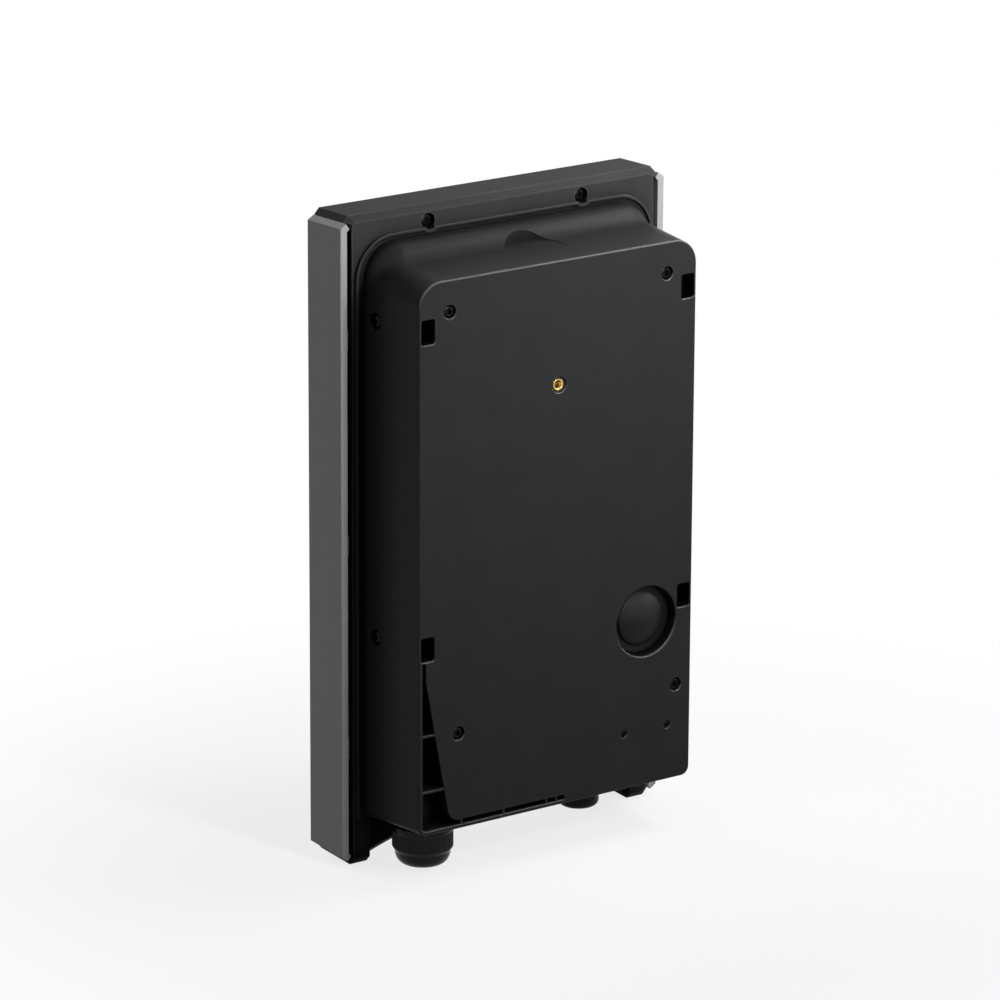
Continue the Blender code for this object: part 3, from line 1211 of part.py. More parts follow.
def make_blank_plug(materials):
    """The plug of the unused bottom entry: a plain round head with a pressed-in stem."""
    high = SEAT_Z - GAP
    low = high - BLANK_HEAD_HEIGHT
    fillet = arc(BLANK_RADIUS - BLANK_FILLET, low + BLANK_FILLET, BLANK_FILLET, -90, 0, DOME_STEPS)
    stem = SEAT_Z + BLANK_STEM_LENGTH
    profile = [(0, low)] + fillet + [
        (BLANK_RADIUS, high), (BLANK_STEM_RADIUS, high), (BLANK_STEM_RADIUS, stem),
        (BLANK_STEM_RADIUS + BLANK_BEAD, stem + BLANK_BEAD / 2),
        (BLANK_STEM_RADIUS - BLANK_BEAD, stem + BLANK_BEAD_HEIGHT), (0, stem + BLANK_BEAD_HEIGHT),
    ]
    return as_object("blank_plug", moved(turned(profile), (BLANK_X, GLAND_Y, 0)), materials["rubber"])


# Electronics inside
def through_hole(radius, x, y, z, segments=SMALL_ROUND):
    """A cutter along Y through a thin sheet that lies near y."""
    return moved(rod(radius, -2 * OVERSHOOT, 2 * OVERSHOOT, segments), (x, y, z), "+Y")


def make_carrier_plate(materials):
    """The sheet that carries the main board, with holes for standoffs, spacers and the cable."""
    plate = as_object("carrier_plate", box(
        (PLATE_X[0], PLATE_REAR_Y - PLATE_THICKNESS, PLATE_Z[0]), (PLATE_X[1], PLATE_REAR_Y, PLATE_Z[1])
    ), materials["steel"])
    neck_hole, pin_hole = STANDOFF_NECK_RADIUS + GAP, SPACER_PIN_RADIUS + GAP
    holes = [through_hole(neck_hole, x, PLATE_REAR_Y, z) for x, z in PLATE_SCREWS]
    holes += [through_hole(pin_hole, x, PLATE_REAR_Y, z) for x, z in spacer_places()]
    holes.append(through_hole(PLATE_CABLE_HOLE_RADIUS, ENTRY_X, PLATE_REAR_Y, ENTRY_Z, ROUND))
    cut(plate, "holes", joined(*holes))
    return plate


def make_standoffs(materials):
    """Hex standoffs pressed into the carrier plate. The plate screws hold them to the housing."""
    back = -PLATE_BOSS_DEPTH - GAP
    shoulder = PLATE_REAR_Y + GAP
    front = PLATE_REAR_Y - PLATE_THICKNESS - GAP
    for number, (x, z) in enumerate(PLATE_SCREWS, 1):
        body = tube(STANDOFF_RADIUS, STANDOFF_BORE_RADIUS, shoulder, back, 6)
        standoff = as_object(f"standoff_{number}", moved(body, (x, 0, z), "+Y"), materials["steel"])
        neck = tube(STANDOFF_NECK_RADIUS, STANDOFF_BORE_RADIUS, front, shoulder + GAP, SMALL_ROUND)
        fuse(standoff, "neck", moved(neck, (x, 0, z), "+Y"))


def spacer_places():
    return [
        (x, z)
        for x in (BOARD_X[0] + SPACER_INSET, BOARD_X[1] - SPACER_INSET)
        for z in (BOARD_Z[0] + SPACER_INSET, BOARD_Z[1] - SPACER_INSET)
    ]


def make_spacers(materials):
    """Plastic spacers whose pins snap through the plate and the board."""
    rear = PLATE_REAR_Y - PLATE_THICKNESS - GAP
    front = BOARD_REAR_Y + GAP
    pin_rear = PLATE_REAR_Y + SPACER_PIN_END
    pin_front = BOARD_FRONT_Y - SPACER_PIN_END
    taper = SPACER_PIN_END / 3
    for number, (x, z) in enumerate(spacer_places(), 1):
        spacer = turned([
            (0, pin_rear), (SPACER_PIN_RADIUS, pin_rear - taper), (SPACER_PIN_RADIUS, rear),
            (SPACER_RADIUS, rear), (SPACER_RADIUS, front), (SPACER_PIN_RADIUS, front),
            (SPACER_PIN_RADIUS, pin_front + taper), (0, pin_front),
        ], SMALL_ROUND)
        as_object(f"spacer_{number}", moved(spacer, (x, 0, z), "+Y"), materials["gland_nylon"])


def make_main_board(materials):
    board = as_object("main_board", box(
        (BOARD_X[0], BOARD_FRONT_Y, BOARD_Z[0]), (BOARD_X[1], BOARD_REAR_Y, BOARD_Z[1])
    ), materials["circuit_board"])
    pin_hole = SPACER_PIN_RADIUS + GAP
    cut(board, "holes", joined(*[
        through_hole(pin_hole, x, BOARD_REAR_Y, z) for x, z in spacer_places()
    ]))
    return board


def make_relays(materials):
    """Two power relays that stand on the main board."""
    rear = BOARD_FRONT_Y - GAP
    low_z = BOARD_Z[0] + RELAY_RISE - RELAY_HEIGHT / 2
    outline = round_rectangle(
        BOARD_WIDTH * RELAY_WIDTH_SHARE / 2, low_z, low_z + RELAY_HEIGHT, RELAY_CORNER, RELAY_CORNER, 4
    )
    for number, share in enumerate(RELAY_SHARES, 1):
        x = BOARD_X[0] + BOARD_WIDTH * share
        relay = prism([(x + px, z) for px, z in outline], rear - RELAY_DEPTH, rear)
        as_object(f"relay_{number}", relay, materials["gloss_black"])


def make_current_sensor(materials):
    rear = BOARD_FRONT_Y - GAP
    ring = tube(SENSOR_RADIUS, SENSOR_BORE_RADIUS, rear - SENSOR_HEIGHT, rear)
    where = (BOARD_X[0] + BOARD_WIDTH * SENSOR_SHARE, 0, BOARD_Z[0] + SENSOR_RISE)
    return as_object("current_sensor", moved(ring, where, "+Y"), materials["gland_nylon"])


def make_terminal_block(materials):
    """A row of screw terminals for the supply wires, with wire entries below and screws in front."""
    rear = BOARD_FRONT_Y - GAP
    front = rear - TERMINAL_DEPTH
    half = TERMINAL_COUNT * TERMINAL_PITCH / 2
    middle_x = BOARD_X[0] + BOARD_WIDTH * TERMINAL_SHARE
    middle_z = BOARD_Z[0] + TERMINAL_RISE
    low_z, high_z = middle_z - TERMINAL_HEIGHT / 2, middle_z + TERMINAL_HEIGHT / 2
    block = as_object("terminal_block", box(
        (middle_x - half, front, low_z), (middle_x + half, rear, high_z)
    ), materials["terminal_green"])
    entry_rear = rear - TERMINAL_SCREW_DEPTH
    entries, screw_wells = [], []
    for index in range(TERMINAL_COUNT):
        x = middle_x - half + TERMINAL_PITCH * (index + 0.5)
        entries.append(box(
            (x - TERMINAL_ENTRY_WIDTH / 2, entry_rear - TERMINAL_ENTRY_DEPTH, low_z - OVERSHOOT),
            (x + TERMINAL_ENTRY_WIDTH / 2, entry_rear, low_z + TERMINAL_ENTRY_HEIGHT),
        ))
        well = rod(TERMINAL_SCREW_RADIUS, -OVERSHOOT, TERMINAL_SCREW_DEPTH, SMALL_ROUND)
        screw_wells.append(moved(well, (x, front, middle_z), "+Y"))
    cut(block, "entries", joined(*entries))
    cut(block, "screw_wells", joined(*screw_wells))
    return block


def make_control_board(materials):
    rear = PANEL_REAR_Y + CONTROL_POST_LENGTH + GAP
    board = as_object("control_board", box(
        (-CONTROL_BOARD_HALF_WIDTH, rear, CONTROL_BOARD_Z[0]),
        (CONTROL_BOARD_HALF_WIDTH, rear + CONTROL_BOARD_THICKNESS, CONTROL_BOARD_Z[1]),
    ), materials["circuit_board"])
    pin_hole = SPACER_PIN_RADIUS + GAP
    cut(board, "holes", joined(*[through_hole(pin_hole, x, rear, z) for x, z in control_post_places()]))
    return board


def make_cord_clamp(materials):
    """A saddle bar under the two small screws that holds the supply cable against the back wall."""
    rear = -CLAMP_BOSS_DEPTH - GAP
    (left_x, z), (right_x, _) = CLAMP_SCREWS
    clamp = as_object("cord_clamp", box(
        (right_x - CLAMP_OVERHANG, rear - CLAMP_DEPTH, z - CLAMP_HALF_HEIGHT),
        (left_x + CLAMP_OVERHANG, rear, z + CLAMP_HALF_HEIGHT),
    ), materials["gland_nylon"])
    reach = CLAMP_HALF_HEIGHT + OVERSHOOT
    arch = rod(CLAMP_ARCH_RADIUS, -reach, reach)
    cut(clamp, "arch", moved(arch, ((left_x + right_x) / 2, rear + CLAMP_ARCH_LIFT, z)))
    hole = SMALL_SHAFT_RADIUS + SCREW_HOLE_CLEARANCE
    cut(clamp, "holes", joined(*[
        moved(rod(hole, -CLAMP_SCREW_LENGTH - OVERSHOOT, OVERSHOOT, SMALL_ROUND), (x, rear, z), "+Y")
        for x, z in CLAMP_SCREWS
    ]))
    return clamp


def main():
    for obj in list(bpy.data.objects):
        bpy.data.objects.remove(obj)
    materials = make_materials()
    make_screws(materials)
    make_front_frame(materials)
    make_front_panel(materials)
    make_status_light(materials)
    make_trim("trim_left", 1, materials)
    make_trim("trim_right", -1, materials)
    make_rear_housing(materials)
    make_housing_seal(materials)
    make_brass_insert(materials)
    make_entry_plug(materials)
    make_gland_gasket(materials)
    make_gland_body(materials)
    make_gland_sleeve(materials)
    make_gland_nut(materials)
    make_blank_plug(materials)
    make_carrier_plate(materials)
    make_standoffs(materials)
    make_spacers(materials)
    make_main_board(materials)
    make_relays(materials)
    make_current_sensor(materials)
    make_terminal_block(materials)
    make_control_board(materials)
    make_cord_clamp(materials)


main()
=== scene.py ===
import json
import math

import bmesh
import bpy
from mathutils import Matrix, Vector


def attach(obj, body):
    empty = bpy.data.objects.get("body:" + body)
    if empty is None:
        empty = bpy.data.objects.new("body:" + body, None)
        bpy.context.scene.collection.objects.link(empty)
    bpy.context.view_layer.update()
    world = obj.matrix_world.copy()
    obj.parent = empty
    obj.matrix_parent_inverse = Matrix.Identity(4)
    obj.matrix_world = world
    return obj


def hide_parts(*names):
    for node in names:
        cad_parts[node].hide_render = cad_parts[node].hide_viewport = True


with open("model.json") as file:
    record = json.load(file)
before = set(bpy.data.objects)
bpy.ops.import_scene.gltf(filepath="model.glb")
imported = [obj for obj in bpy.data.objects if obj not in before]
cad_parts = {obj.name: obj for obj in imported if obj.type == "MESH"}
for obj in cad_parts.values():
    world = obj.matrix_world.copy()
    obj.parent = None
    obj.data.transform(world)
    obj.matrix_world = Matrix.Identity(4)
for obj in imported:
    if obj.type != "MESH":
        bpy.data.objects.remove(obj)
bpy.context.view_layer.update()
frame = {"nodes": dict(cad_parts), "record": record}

MM = 0.001
GAP = 0.3
OVERSHOOT = 2.0

# Camera, in metres and degrees
IMAGE_SIDE = 1000
FOCAL_PIXELS = 5748.7
SENSOR_WIDTH = 36.0
CAMERA_PLACE = Vector((1.53477, 2.11633, 0.81667))
CAMERA_AZIMUTH = 144.66
CAMERA_ELEVATION = 16.96
CAMERA_ROLL = 0.29

CAMERA_REACH = 30.0

# Floor and world, in metres
FLOOR_Z = -0.1612
FLOOR_RADIUS = 6.0
FLOOR_LIT_TONE = 0.35
FLOOR_SEEN_TONE = 0.9
FLOOR_FADE_START = 0.13
FLOOR_FADE_END = 0.42
FLOOR_FADE_LEAST = 0.78
WORLD_LIGHT = 0.02

# Looks: limits are (value at share 0, value at share 1), and lengths are in metres
RAY_SAMPLES = 6
# Painted highlight on edges: where the softened normal turns away from the true one
EDGE_LIKENESS = (0.997, 0.94)
# Painted highlight on the wall face's upper rims: its band, turn and upward limits, and its tint
RIM_BAND = (-0.0011, -0.0008)
RIM_TURN = (0.985, 0.92)
RIM_UPWARD = (0.02, 0.45)
RIM_HIGHLIGHT_TINT = 4.6
# Painted light on faces that look upwards
DOME_UPWARD = (-0.02, 0.30)
# Painted shade in recesses: how far it reaches, and its tint
RECESS_REACH = 0.014
RECESS_SHADE_TINT = 0.12
BROAD_SCALE = 45.0
MOULD_RELIEF = 0.00005
METAL_RELIEF = 0.00003

# Slab, in millimetres
SLAB_REAR_Y = -45.0
SLAB_FRONT_Y = -73.0
SLAB_HALF_HEIGHT_FRONT = 160.2
SLAB_FLARE = 1.0
SLAB_HALF_HEIGHT = SLAB_HALF_HEIGHT_FRONT + SLAB_FLARE
REAR_BEVEL = 3.0
SIDE_BEVEL = 0.4
REAR_CORNER_RADIUS = 2.5
FRONT_BEVEL = 0.5
CORNER_CHAMFER = 6.2
TRIM_OUTER_X = 94.1
TRIM_INNER_X = 90.4
TRIM_SPUR_X = 89.1
TRIM_BEVEL = 0.45
TRIM_END_DROP = 5.2
TRIM_SHOULDER_DROP = 3.1
TRIM_SHOULDER_WIDTH = 0.3
TRIM_SPUR_DROP = 5.3
TRIM_SPUR_ROOT_DROP = 6.6
TRIM_TABS_Z = (101.5, 0.0, -101.5)
TRIM_TAB_LENGTH = 10.7
TRIM_TAB_REAR_Y = -47.5
TRIM_TAB_DEPTH = 8.5
FRAME_HALF_WIDTH = 88.1
LIP_HEEL_DROP = 6.0
LIP_FOOT_DROP = 6.7
LIP_SIDE_GAP = 0.8 * GAP
LIP_TOP_GAP = 0.6 * GAP
REAR_EDGE_DROP = 0.12
REAR_EDGE_BACK = 0.25
FRAME_REAR_WALL = 3.0
CAVITY_HALF_WIDTH = 84.6
CAVITY_TOP_Z = 156.7
CAVITY_STEP = 0.4
CHIN_TOP_Z = -141.0
LEG_INNER_X = 78.2
ARCH_APEX_Z = -146.0
ARCH_RADIUS = 236.54
ARCH_BEVEL = 3.0
FOOT_RECESS_DEPTH = 2.7
FOOT_RECESS_TOP_Z = -136.0
OPENING_HALF_WIDTH = 73.75
OPENING_TOP_Z = 142.0
OPENING_BOTTOM_Z = -129.0
OPENING_FOOT_RADIUS = 6.0
OPENING_TOP_RADIUS = 12.0
RING_LIP_HEIGHT = 2.0
RING_LIP_WIDTH = 1.5
RING_LIP_RADIUS = 21.0
RING_LIP_HALF_WIDTH = 86.3
RING_LIP_TOP_Z = 150.8
RING_LIP_FOOT_Z = -137.5
RING_LIP_ROUNDING = 0.45
RING_LIP_ROOT = 1.0
FRAME_SCREW_X = 44.5
FRAME_SCREW_Z = 153.3
FRAME_RECESS_RADIUS = 3.9
FRAME_RECESS_DEPTH = 3.6
FRAME_BOSS_RADIUS = 5.6
FRAME_BOSS_DEPTH = 7.2
LIP_BULGE_RADIUS = 5.2
LIP_BULGE_ROOT = 0.8
LIP_BULGE_DROP = 0.02

# Housing
HOUSING_HALF_WIDTH = 80.35
HOUSING_TOP_Z = 137.0
HOUSING_BOTTOM_Z = -134.7
HOUSING_ROOT_Y = -43.7
SIDE_DRAFT = 0.0067
SHELF_SLOPE = 0.09
BOTTOM_SLOPE = 0.06
TOP_RADIUS = 12.5
BOTTOM_RADIUS = 4.5
HOUSING_WALL = 2.3
BACK_WALL = 3.0
RIM_ROUNDING = 0.8
RIM_STATIONS = (10.0, 18.0)
SHOULDER_HEIGHT = 6.5
SHOULDER_DEPTH = 33.0
SHOULDER_SOFTNESS = 1.6
SHOULDER_CORNER_DELAY = 8.0
SHOULDER_INNER_DELAY = 1.6
ROOT_TOP_RADIUS = 18.0
ROOT_FLARE = 1.5
SCOOP_RADIUS = 16.5
SCOOP_CENTRE_Y = -18.0
SCOOP_FLOOR_Z = 138.5
SCOOP_FLOOR_SLOPE = 0.072
SLOT_HALF_WIDTH = 3.8
SLOT_HALF_HEIGHT = 6.0
SLOT_DEPTH = 9.0
SLOT_WALL = 1.6
SLOT_CORNER = 1.2
SLOT_LIP = 0.5
HOOK_SLOTS = ((75.3, 113.5), (-75.3, 113.5), (75.3, -41.6), (-75.3, -41.6))
POCKET_DEPTH = 11.6
POCKET_WALL = 1.8
POCKET_OUTER_X = 78.15
POCKET_TOP_Z = -48.2
POCKET_BOTTOM_Z = -132.7
POCKET_EDGE = ((76.4, -57.0), (71.5, -83.0), (65.7, -112.9), (63.5, -124.3))
POCKET_SLIT_Z = -130.2
POCKET_ROUND_CORNER_X = 62.3
POCKET_ROUND_END_X = 56.7
POCKET_SLIT_END_X = -5.1
POCKET_FOOT_RADIUS = 2.5
POCKET_LIP = 0.4
POCKET_RIB = 1.0
POCKET_RIB_SINK = 0.25
POCKET_RIBS_Z = (-84.8, -113.0)
POCKET_RIBS_X = (55.6, 30.9, 5.6, -0.3)

# Screws, insert and plugs
SHAFT_RADIUS = 1.5
HEAD_RADIUS = 2.95
HEAD_HEIGHT = 1.8
HEAD_SIDE_SHARE = 0.45
HEAD_CROWN_SHARE = 0.36
HEAD_EDGE = 0.1
SHAFT_TIP = 0.2
SOCKET_SHARE = 0.6
SOCKET_FLOOR_SHARE = 0.15
LOBE_WAVE = 0.14
RECESS_CLEARANCE = 0.4
PLATE_SCREWS = ((63.0, 121.6), (-63.0, 121.6), (57.5, -86.6), (-71.3, -86.6))
PLATE_SCREW_LENGTH = 10.0
PLATE_RECESS_DEPTH = 3.0
PLATE_BOSS_DEPTH = 5.5
PLATE_BOSS_RADIUS = 5.0
CLAMP_SCREWS = ((-40.3, -106.4), (-66.4, -106.4))
CLAMP_SCREW_LENGTH = 8.0
CLAMP_RECESS_DEPTH = 2.0
CLAMP_BOSS_DEPTH = 4.5
CLAMP_BOSS_WALL = 2.1
CLAMP_RECESS_LIP = 0.3
SMALL_SHAFT_RADIUS = 1.0
SMALL_HEAD_RADIUS = 1.75
SMALL_HEAD_HEIGHT = 1.3
SIDE_SCREW_X = 80.59
SIDE_SCREW_Y = -36.0
SIDE_SCREWS_Z = (111.8, -43.8)
SIDE_SCREW_LENGTH = 8.0
SIDE_RECESS_DEPTH = 2.1
SIDE_RECESS_RADIUS = 4.1
SIDE_BOSS_DEPTH = 4.2
SIDE_RECESS_LIP = 0.3
SIDE_BLOCK_FRONT = 12.0
SIDE_BLOCK_REAR = 6.0
LUG_OUTER_X = 75.85
LUG_DEPTH = 5.0
LUG_HALF_HEIGHT = 6.0
LUG_RISE = 15.0
LUG_ROOT = 2.5
FRAME_SCREW_LENGTH = 12.0
INSERT_Z = 76.4
INSERT_RADIUS = 2.95
INSERT_BORE_RADIUS = 1.9
INSERT_SINK = 0.8
INSERT_LENGTH = 6.7
INSERT_RECESS_RADIUS = 3.95
INSERT_BOSS_RADIUS = 5.6
INSERT_BOSS_FLOOR = 1.8
INSERT_RECESS_LIP = 0.4
INSERT_WAIST_DEPTH = 0.35
INSERT_MOUTH = 0.4
INSERT_THREAD_PITCH = 0.7
INSERT_THREAD_DEPTH = 0.25
ENTRY_X = -53.0
ENTRY_Z = -51.0
ENTRY_RECESS_RADIUS = 17.8
ENTRY_RECESS_DEPTH = 6.4
ENTRY_HOLE_RADIUS = 14.6
ENTRY_FLOOR = 2.2
ENTRY_WALL = 2.0
ENTRY_DISC_RADIUS = 13.2
ENTRY_DISC_SINK = 2.2
ENTRY_DISC_DOME = 2.3
ENTRY_DISC_EDGE = 0.7
ENTRY_DISC_LEDGE = 1.0
ENTRY_RECESS_LIP = 0.7
ENTRY_RIM_ROUNDING = 0.9
ENTRY_SKIRT = 2.4
ENTRY_SKIRT_WALL = 2.6
ENTRY_DISC_FLOOR = 2.2
BARB_REACH = 0.8
BARB_RISE = 0.4
GLAND_X = 61.0
GLAND_Y = -25.0
SEAT_Z = -133.2
SEAT_RADIUS = 14.4
SEAT_WALL = 2.0
SEAT_CUT = 9.3
THREAD_RADIUS = 11.0
NUT_RADIUS = 15.2
NUT_TOP_Z = -137.8
NUT_END_Z = -158.0
NUT_COLLAR_HEIGHT = 3.4
NUT_GRIP_HEIGHT = 8.7
NUT_RIBS = 60
NUT_RIB_DEPTH = 0.5
NUT_SHOULDER_RADIUS = 13.6
NUT_SHOULDER_DROP = 1.5
NUT_MOUTH_RADIUS = 8.3
NUT_COLLAR_ROUNDING = 1.3
NUT_COLLAR_FOOT_ROUNDING = 0.6
NUT_GRIP_SINK = 0.35
NUT_INNER_RADIUS = 12.7
SLEEVE_CONE_Z = -153.9
SLEEVE_CONE_RADIUS = 9.3
SLEEVE_CONE = 1.6
BLANK_X = -31.5
BLANK_RADIUS = 10.1
BLANK_HEAD_HEIGHT = 14.2
BLANK_FILLET = 3.0
BLANK_STEM_RADIUS = 7.8
BLANK_STEM_LENGTH = 6.0
BLANK_BARB_LENGTH = 3.0
BLANK_BOSS_WALL = 2.6


# Node helpers
def new_material(name):
    made = bpy.data.materials.new(name)
    made.use_nodes = True
    tree = made.node_tree
    return made, tree, tree.nodes["Principled BSDF"]


def node(tree, kind, **values):
    made = tree.nodes.new(kind)
    for key, value in values.items():
        if key in made.inputs:
            made.inputs[key].default_value = value
        else:
            setattr(made, key, value)
    return made


def maths(tree, operation, first, second):
    """Two values through a math node, where the second may be a plain number."""
    made = node(tree, "ShaderNodeMath", operation=operation)
    tree.links.new(first, made.inputs[0])
    if isinstance(second, float):
        made.inputs[1].default_value = second
    else:
        tree.links.new(second, made.inputs[1])
    return made.outputs[0]


def between(tree, value, low, high):
    """A value turned into a share from 0 at low to 1 at high."""
    share = node(tree, "ShaderNodeMapRange")
    share.inputs["From Min"].default_value = low
    share.inputs["From Max"].default_value = high
    tree.links.new(value, share.inputs["Value"])
    return share.outputs["Result"]


def scaled(tree, share, low, high):
    """A share from 0 to 1 turned into a value from low to high."""
    value = node(tree, "ShaderNodeMapRange")
    value.inputs["To Min"].default_value = low
    value.inputs["To Max"].default_value = high
    tree.links.new(share, value.inputs["Value"])
    return value.outputs["Result"]


def ramp(tree, source, low, high, colour_low, colour_high):
    made = tree.nodes.new("ShaderNodeValToRGB")
    made.color_ramp.elements[0].position = low
    made.color_ramp.elements[1].position = high
    made.color_ramp.elements[0].color = (*colour_low, 1)
    made.color_ramp.elements[1].color = (*colour_high, 1)
    tree.links.new(source, made.inputs["Fac"])
    return made.outputs["Color"]


def object_axes(tree, which):
    """The X, Y and Z of a point's place or normal in its object's own axes."""
    place = tree.nodes.new("ShaderNodeTexCoord")
    axes = tree.nodes.new("ShaderNodeSeparateXYZ")
    tree.links.new(place.outputs[which], axes.inputs[0])
    return axes.outputs


def softened(tree, radius):
    """Normals that round the edges a little."""
    return node(tree, "ShaderNodeBevel", samples=RAY_SAMPLES, Radius=radius).outputs["Normal"]


def edge_share(tree, radius):
    """How close a point lies to an edge, from 0 on a flat face to 1."""
    flat = tree.nodes.new("ShaderNodeNewGeometry").outputs["Normal"]
    likeness = node(tree, "ShaderNodeVectorMath", operation="DOT_PRODUCT")
    tree.links.new(softened(tree, radius), likeness.inputs[0])
    tree.links.new(flat, likeness.inputs[1])
    return between(tree, likeness.outputs["Value"], *EDGE_LIKENESS)


def highlit_rim_share(tree):
    """Where a highlight is painted: the rounded rims of the wall face that look upwards."""
    facing = object_axes(tree, "Normal")
    share = between(tree, object_axes(tree, "Object")["Y"], *RIM_BAND)
    for axis, limits in (("Y", RIM_TURN), ("Z", RIM_UPWARD)):
        share = maths(tree, "MULTIPLY", share, between(tree, facing[axis], *limits))
    return share


def open_share(tree, depth):
    """How open a point lies, from 0 deep in a recess to 1."""
    around = node(tree, "ShaderNodeAmbientOcclusion", samples=RAY_SAMPLES, Distance=RECESS_REACH)
    return maths(tree, "POWER", around.outputs["AO"], depth)


def blended(tree, share, first, second):
    """One colour turning into another by a share."""
    mix = node(tree, "ShaderNodeMix", data_type="RGBA")
    tree.links.new(share, mix.inputs[0])
    for socket, colour in ((mix.inputs[6], first), (mix.inputs[7], second)):
        if isinstance(colour, tuple):
            socket.default_value = (*colour, 1)
        else:
            tree.links.new(colour, socket)
    return mix.outputs[2]


def tinted(colour, factor):
    return tuple(min(1.0, channel * factor) for channel in colour)


def grained(tree, shader, height, strength, distance, edge):
    """A fine relief over softened edges."""
    raised = node(tree, "ShaderNodeBump", Strength=strength, Distance=distance)
    tree.links.new(height, raised.inputs["Height"])
    tree.links.new(softened(tree, edge), raised.inputs["Normal"])
    tree.links.new(raised.outputs["Normal"], shader.inputs["Normal"])


def moulded(name, colour, roughness, grain, bump, spread=0.12, specular=0.05, edge=0.0003, edge_highlight=1.0, shade=0.0,
            top_light=0.0, painted_rims=False):
    """Moulded plastic or rubber: fine texture, softened edges, and painted light and shade in the colour.

    It can paint a highlight on edges, paint shade into recesses, paint light on faces that look upwards, and
    paint a highlight on the wall face's upper rims.
    """
    made, tree, shader = new_material(name)
    place = node(tree, "ShaderNodeTexCoord").outputs["Object"]
    fine = node(tree, "ShaderNodeTexNoise", Scale=grain, Detail=3.0, Roughness=0.6)
    broad = node(tree, "ShaderNodeTexNoise", Scale=BROAD_SCALE, Detail=4.0, Roughness=0.55)
    for texture in (fine, broad):
        tree.links.new(place, texture.inputs["Vector"])
    darker, lighter = tinted(colour, 1 - spread), tinted(colour, 1 + spread)
    tone = ramp(tree, broad.outputs["Fac"], 0.35, 0.65, darker, lighter)
    # Painted highlight: edges are lighter
    if edge_highlight > 1:
        tone = blended(tree, edge_share(tree, 2 * edge), tone, tinted(colour, edge_highlight))
    # Painted shade: recesses are darker
    if shade:
        tone = blended(tree, open_share(tree, shade), tinted(colour, RECESS_SHADE_TINT), tone)
    # Painted light: faces that look upwards are lighter
    if top_light:
        upward = between(tree, object_axes(tree, "Normal")["Z"], *DOME_UPWARD)
        tone = blended(tree, upward, tone, tinted(colour, top_light))
    # Painted highlight on the wall face's upper rims
    if painted_rims:
        tone = blended(tree, highlit_rim_share(tree), tone, tinted(colour, RIM_HIGHLIGHT_TINT))
    tree.links.new(tone, shader.inputs["Base Color"])
    gloss = scaled(tree, broad.outputs["Fac"], roughness * 0.93, roughness * 1.07)
    tree.links.new(gloss, shader.inputs["Roughness"])
    shader.inputs["Specular IOR Level"].default_value = specular
    grained(tree, shader, fine.outputs["Fac"], bump, MOULD_RELIEF, edge)
    return made


def metal(name, colour, roughness, stretch, strength, metallic=1.0, specular=0.5, edge=0.0002):
    """Metal with fine lines or grain, its gloss varying along them."""
    made, tree, shader = new_material(name)
    shader.inputs["Metallic"].default_value = metallic
    shader.inputs["Specular IOR Level"].default_value = specular
    place = node(tree, "ShaderNodeTexCoord").outputs["Object"]
    mapping = node(tree, "ShaderNodeMapping")
    mapping.inputs["Scale"].default_value = stretch
    tree.links.new(place, mapping.inputs["Vector"])
    grain = node(tree, "ShaderNodeTexNoise", Scale=1.0, Detail=5.0, Roughness=0.65)
    tree.links.new(mapping.outputs["Vector"], grain.inputs["Vector"])
    tone = ramp(tree, grain.outputs["Fac"], 0.3, 0.7, tinted(colour, 0.92), tinted(colour, 1.06))
    tree.links.new(tone, shader.inputs["Base Color"])
    gloss = scaled(tree, grain.outputs["Fac"], roughness * 0.85, roughness * 1.15)
    tree.links.new(gloss, shader.inputs["Roughness"])
    grained(tree, shader, grain.outputs["Fac"], strength, METAL_RELIEF, edge)
    return made


# In these looks, lighter edges and lighter upward faces are painted highlight, and darker recesses are
# painted shade.
LOOKS = {
    "black_plastic": moulded(
        "black_moulded", (0.0320, 0.0320, 0.0323), 0.42, grain=2600.0, bump=0.06, spread=0.04, specular=0.01,
        edge_highlight=3.2, shade=1.6
    ),
    "gloss_black": moulded(
        "gloss_black_panel", (0.008, 0.008, 0.009), 0.14, grain=900.0, bump=0.02, spread=0.1, specular=0.3
    ),
    "light_guide": moulded(
        "frosted_guide", (0.75, 0.78, 0.80), 0.4, grain=1500.0, bump=0.1, spread=0.03, specular=0.4
    ),
    "aluminium": metal(
        "anodised_aluminium", (0.265, 0.268, 0.277), 0.5, (4200.0, 4200.0, 4200.0), 0.15, metallic=0.05,
        specular=0.08
    ),
    "rubber": moulded(
        "matt_rubber", (0.013, 0.013, 0.013), 0.32, grain=1800.0, bump=0.08, spread=0.06, specular=0.06,
        edge=0.0002, edge_highlight=2.2, shade=1.2, top_light=2.6
    ),
    "brass": metal("turned_brass", (0.60, 0.42, 0.14), 0.28, (900.0, 6000.0, 900.0), 0.2),
    "gland_nylon": moulded(
        "black_nylon", (0.008, 0.008, 0.008), 0.20, grain=1200.0, bump=0.05, spread=0.1, specular=0.12,
        edge=0.0002, edge_highlight=5.0, shade=1.2
    ),
    "black_screw": metal(
        "blackened_steel", (0.004, 0.004, 0.004), 0.24, (2500.0, 2500.0, 2500.0), 0.15, metallic=0.3,
        specular=0.12
    ),
    "steel": metal("zinc_plate", (0.50, 0.51, 0.53), 0.38, (600.0, 600.0, 2400.0), 0.2),
    "circuit_board": moulded("solder_mask", (0.015, 0.10, 0.04), 0.35, grain=700.0, bump=0.1, spread=0.2),
    "terminal_green": moulded("green_moulding", (0.05, 0.28, 0.11), 0.42, grain=1500.0, bump=0.1),
}
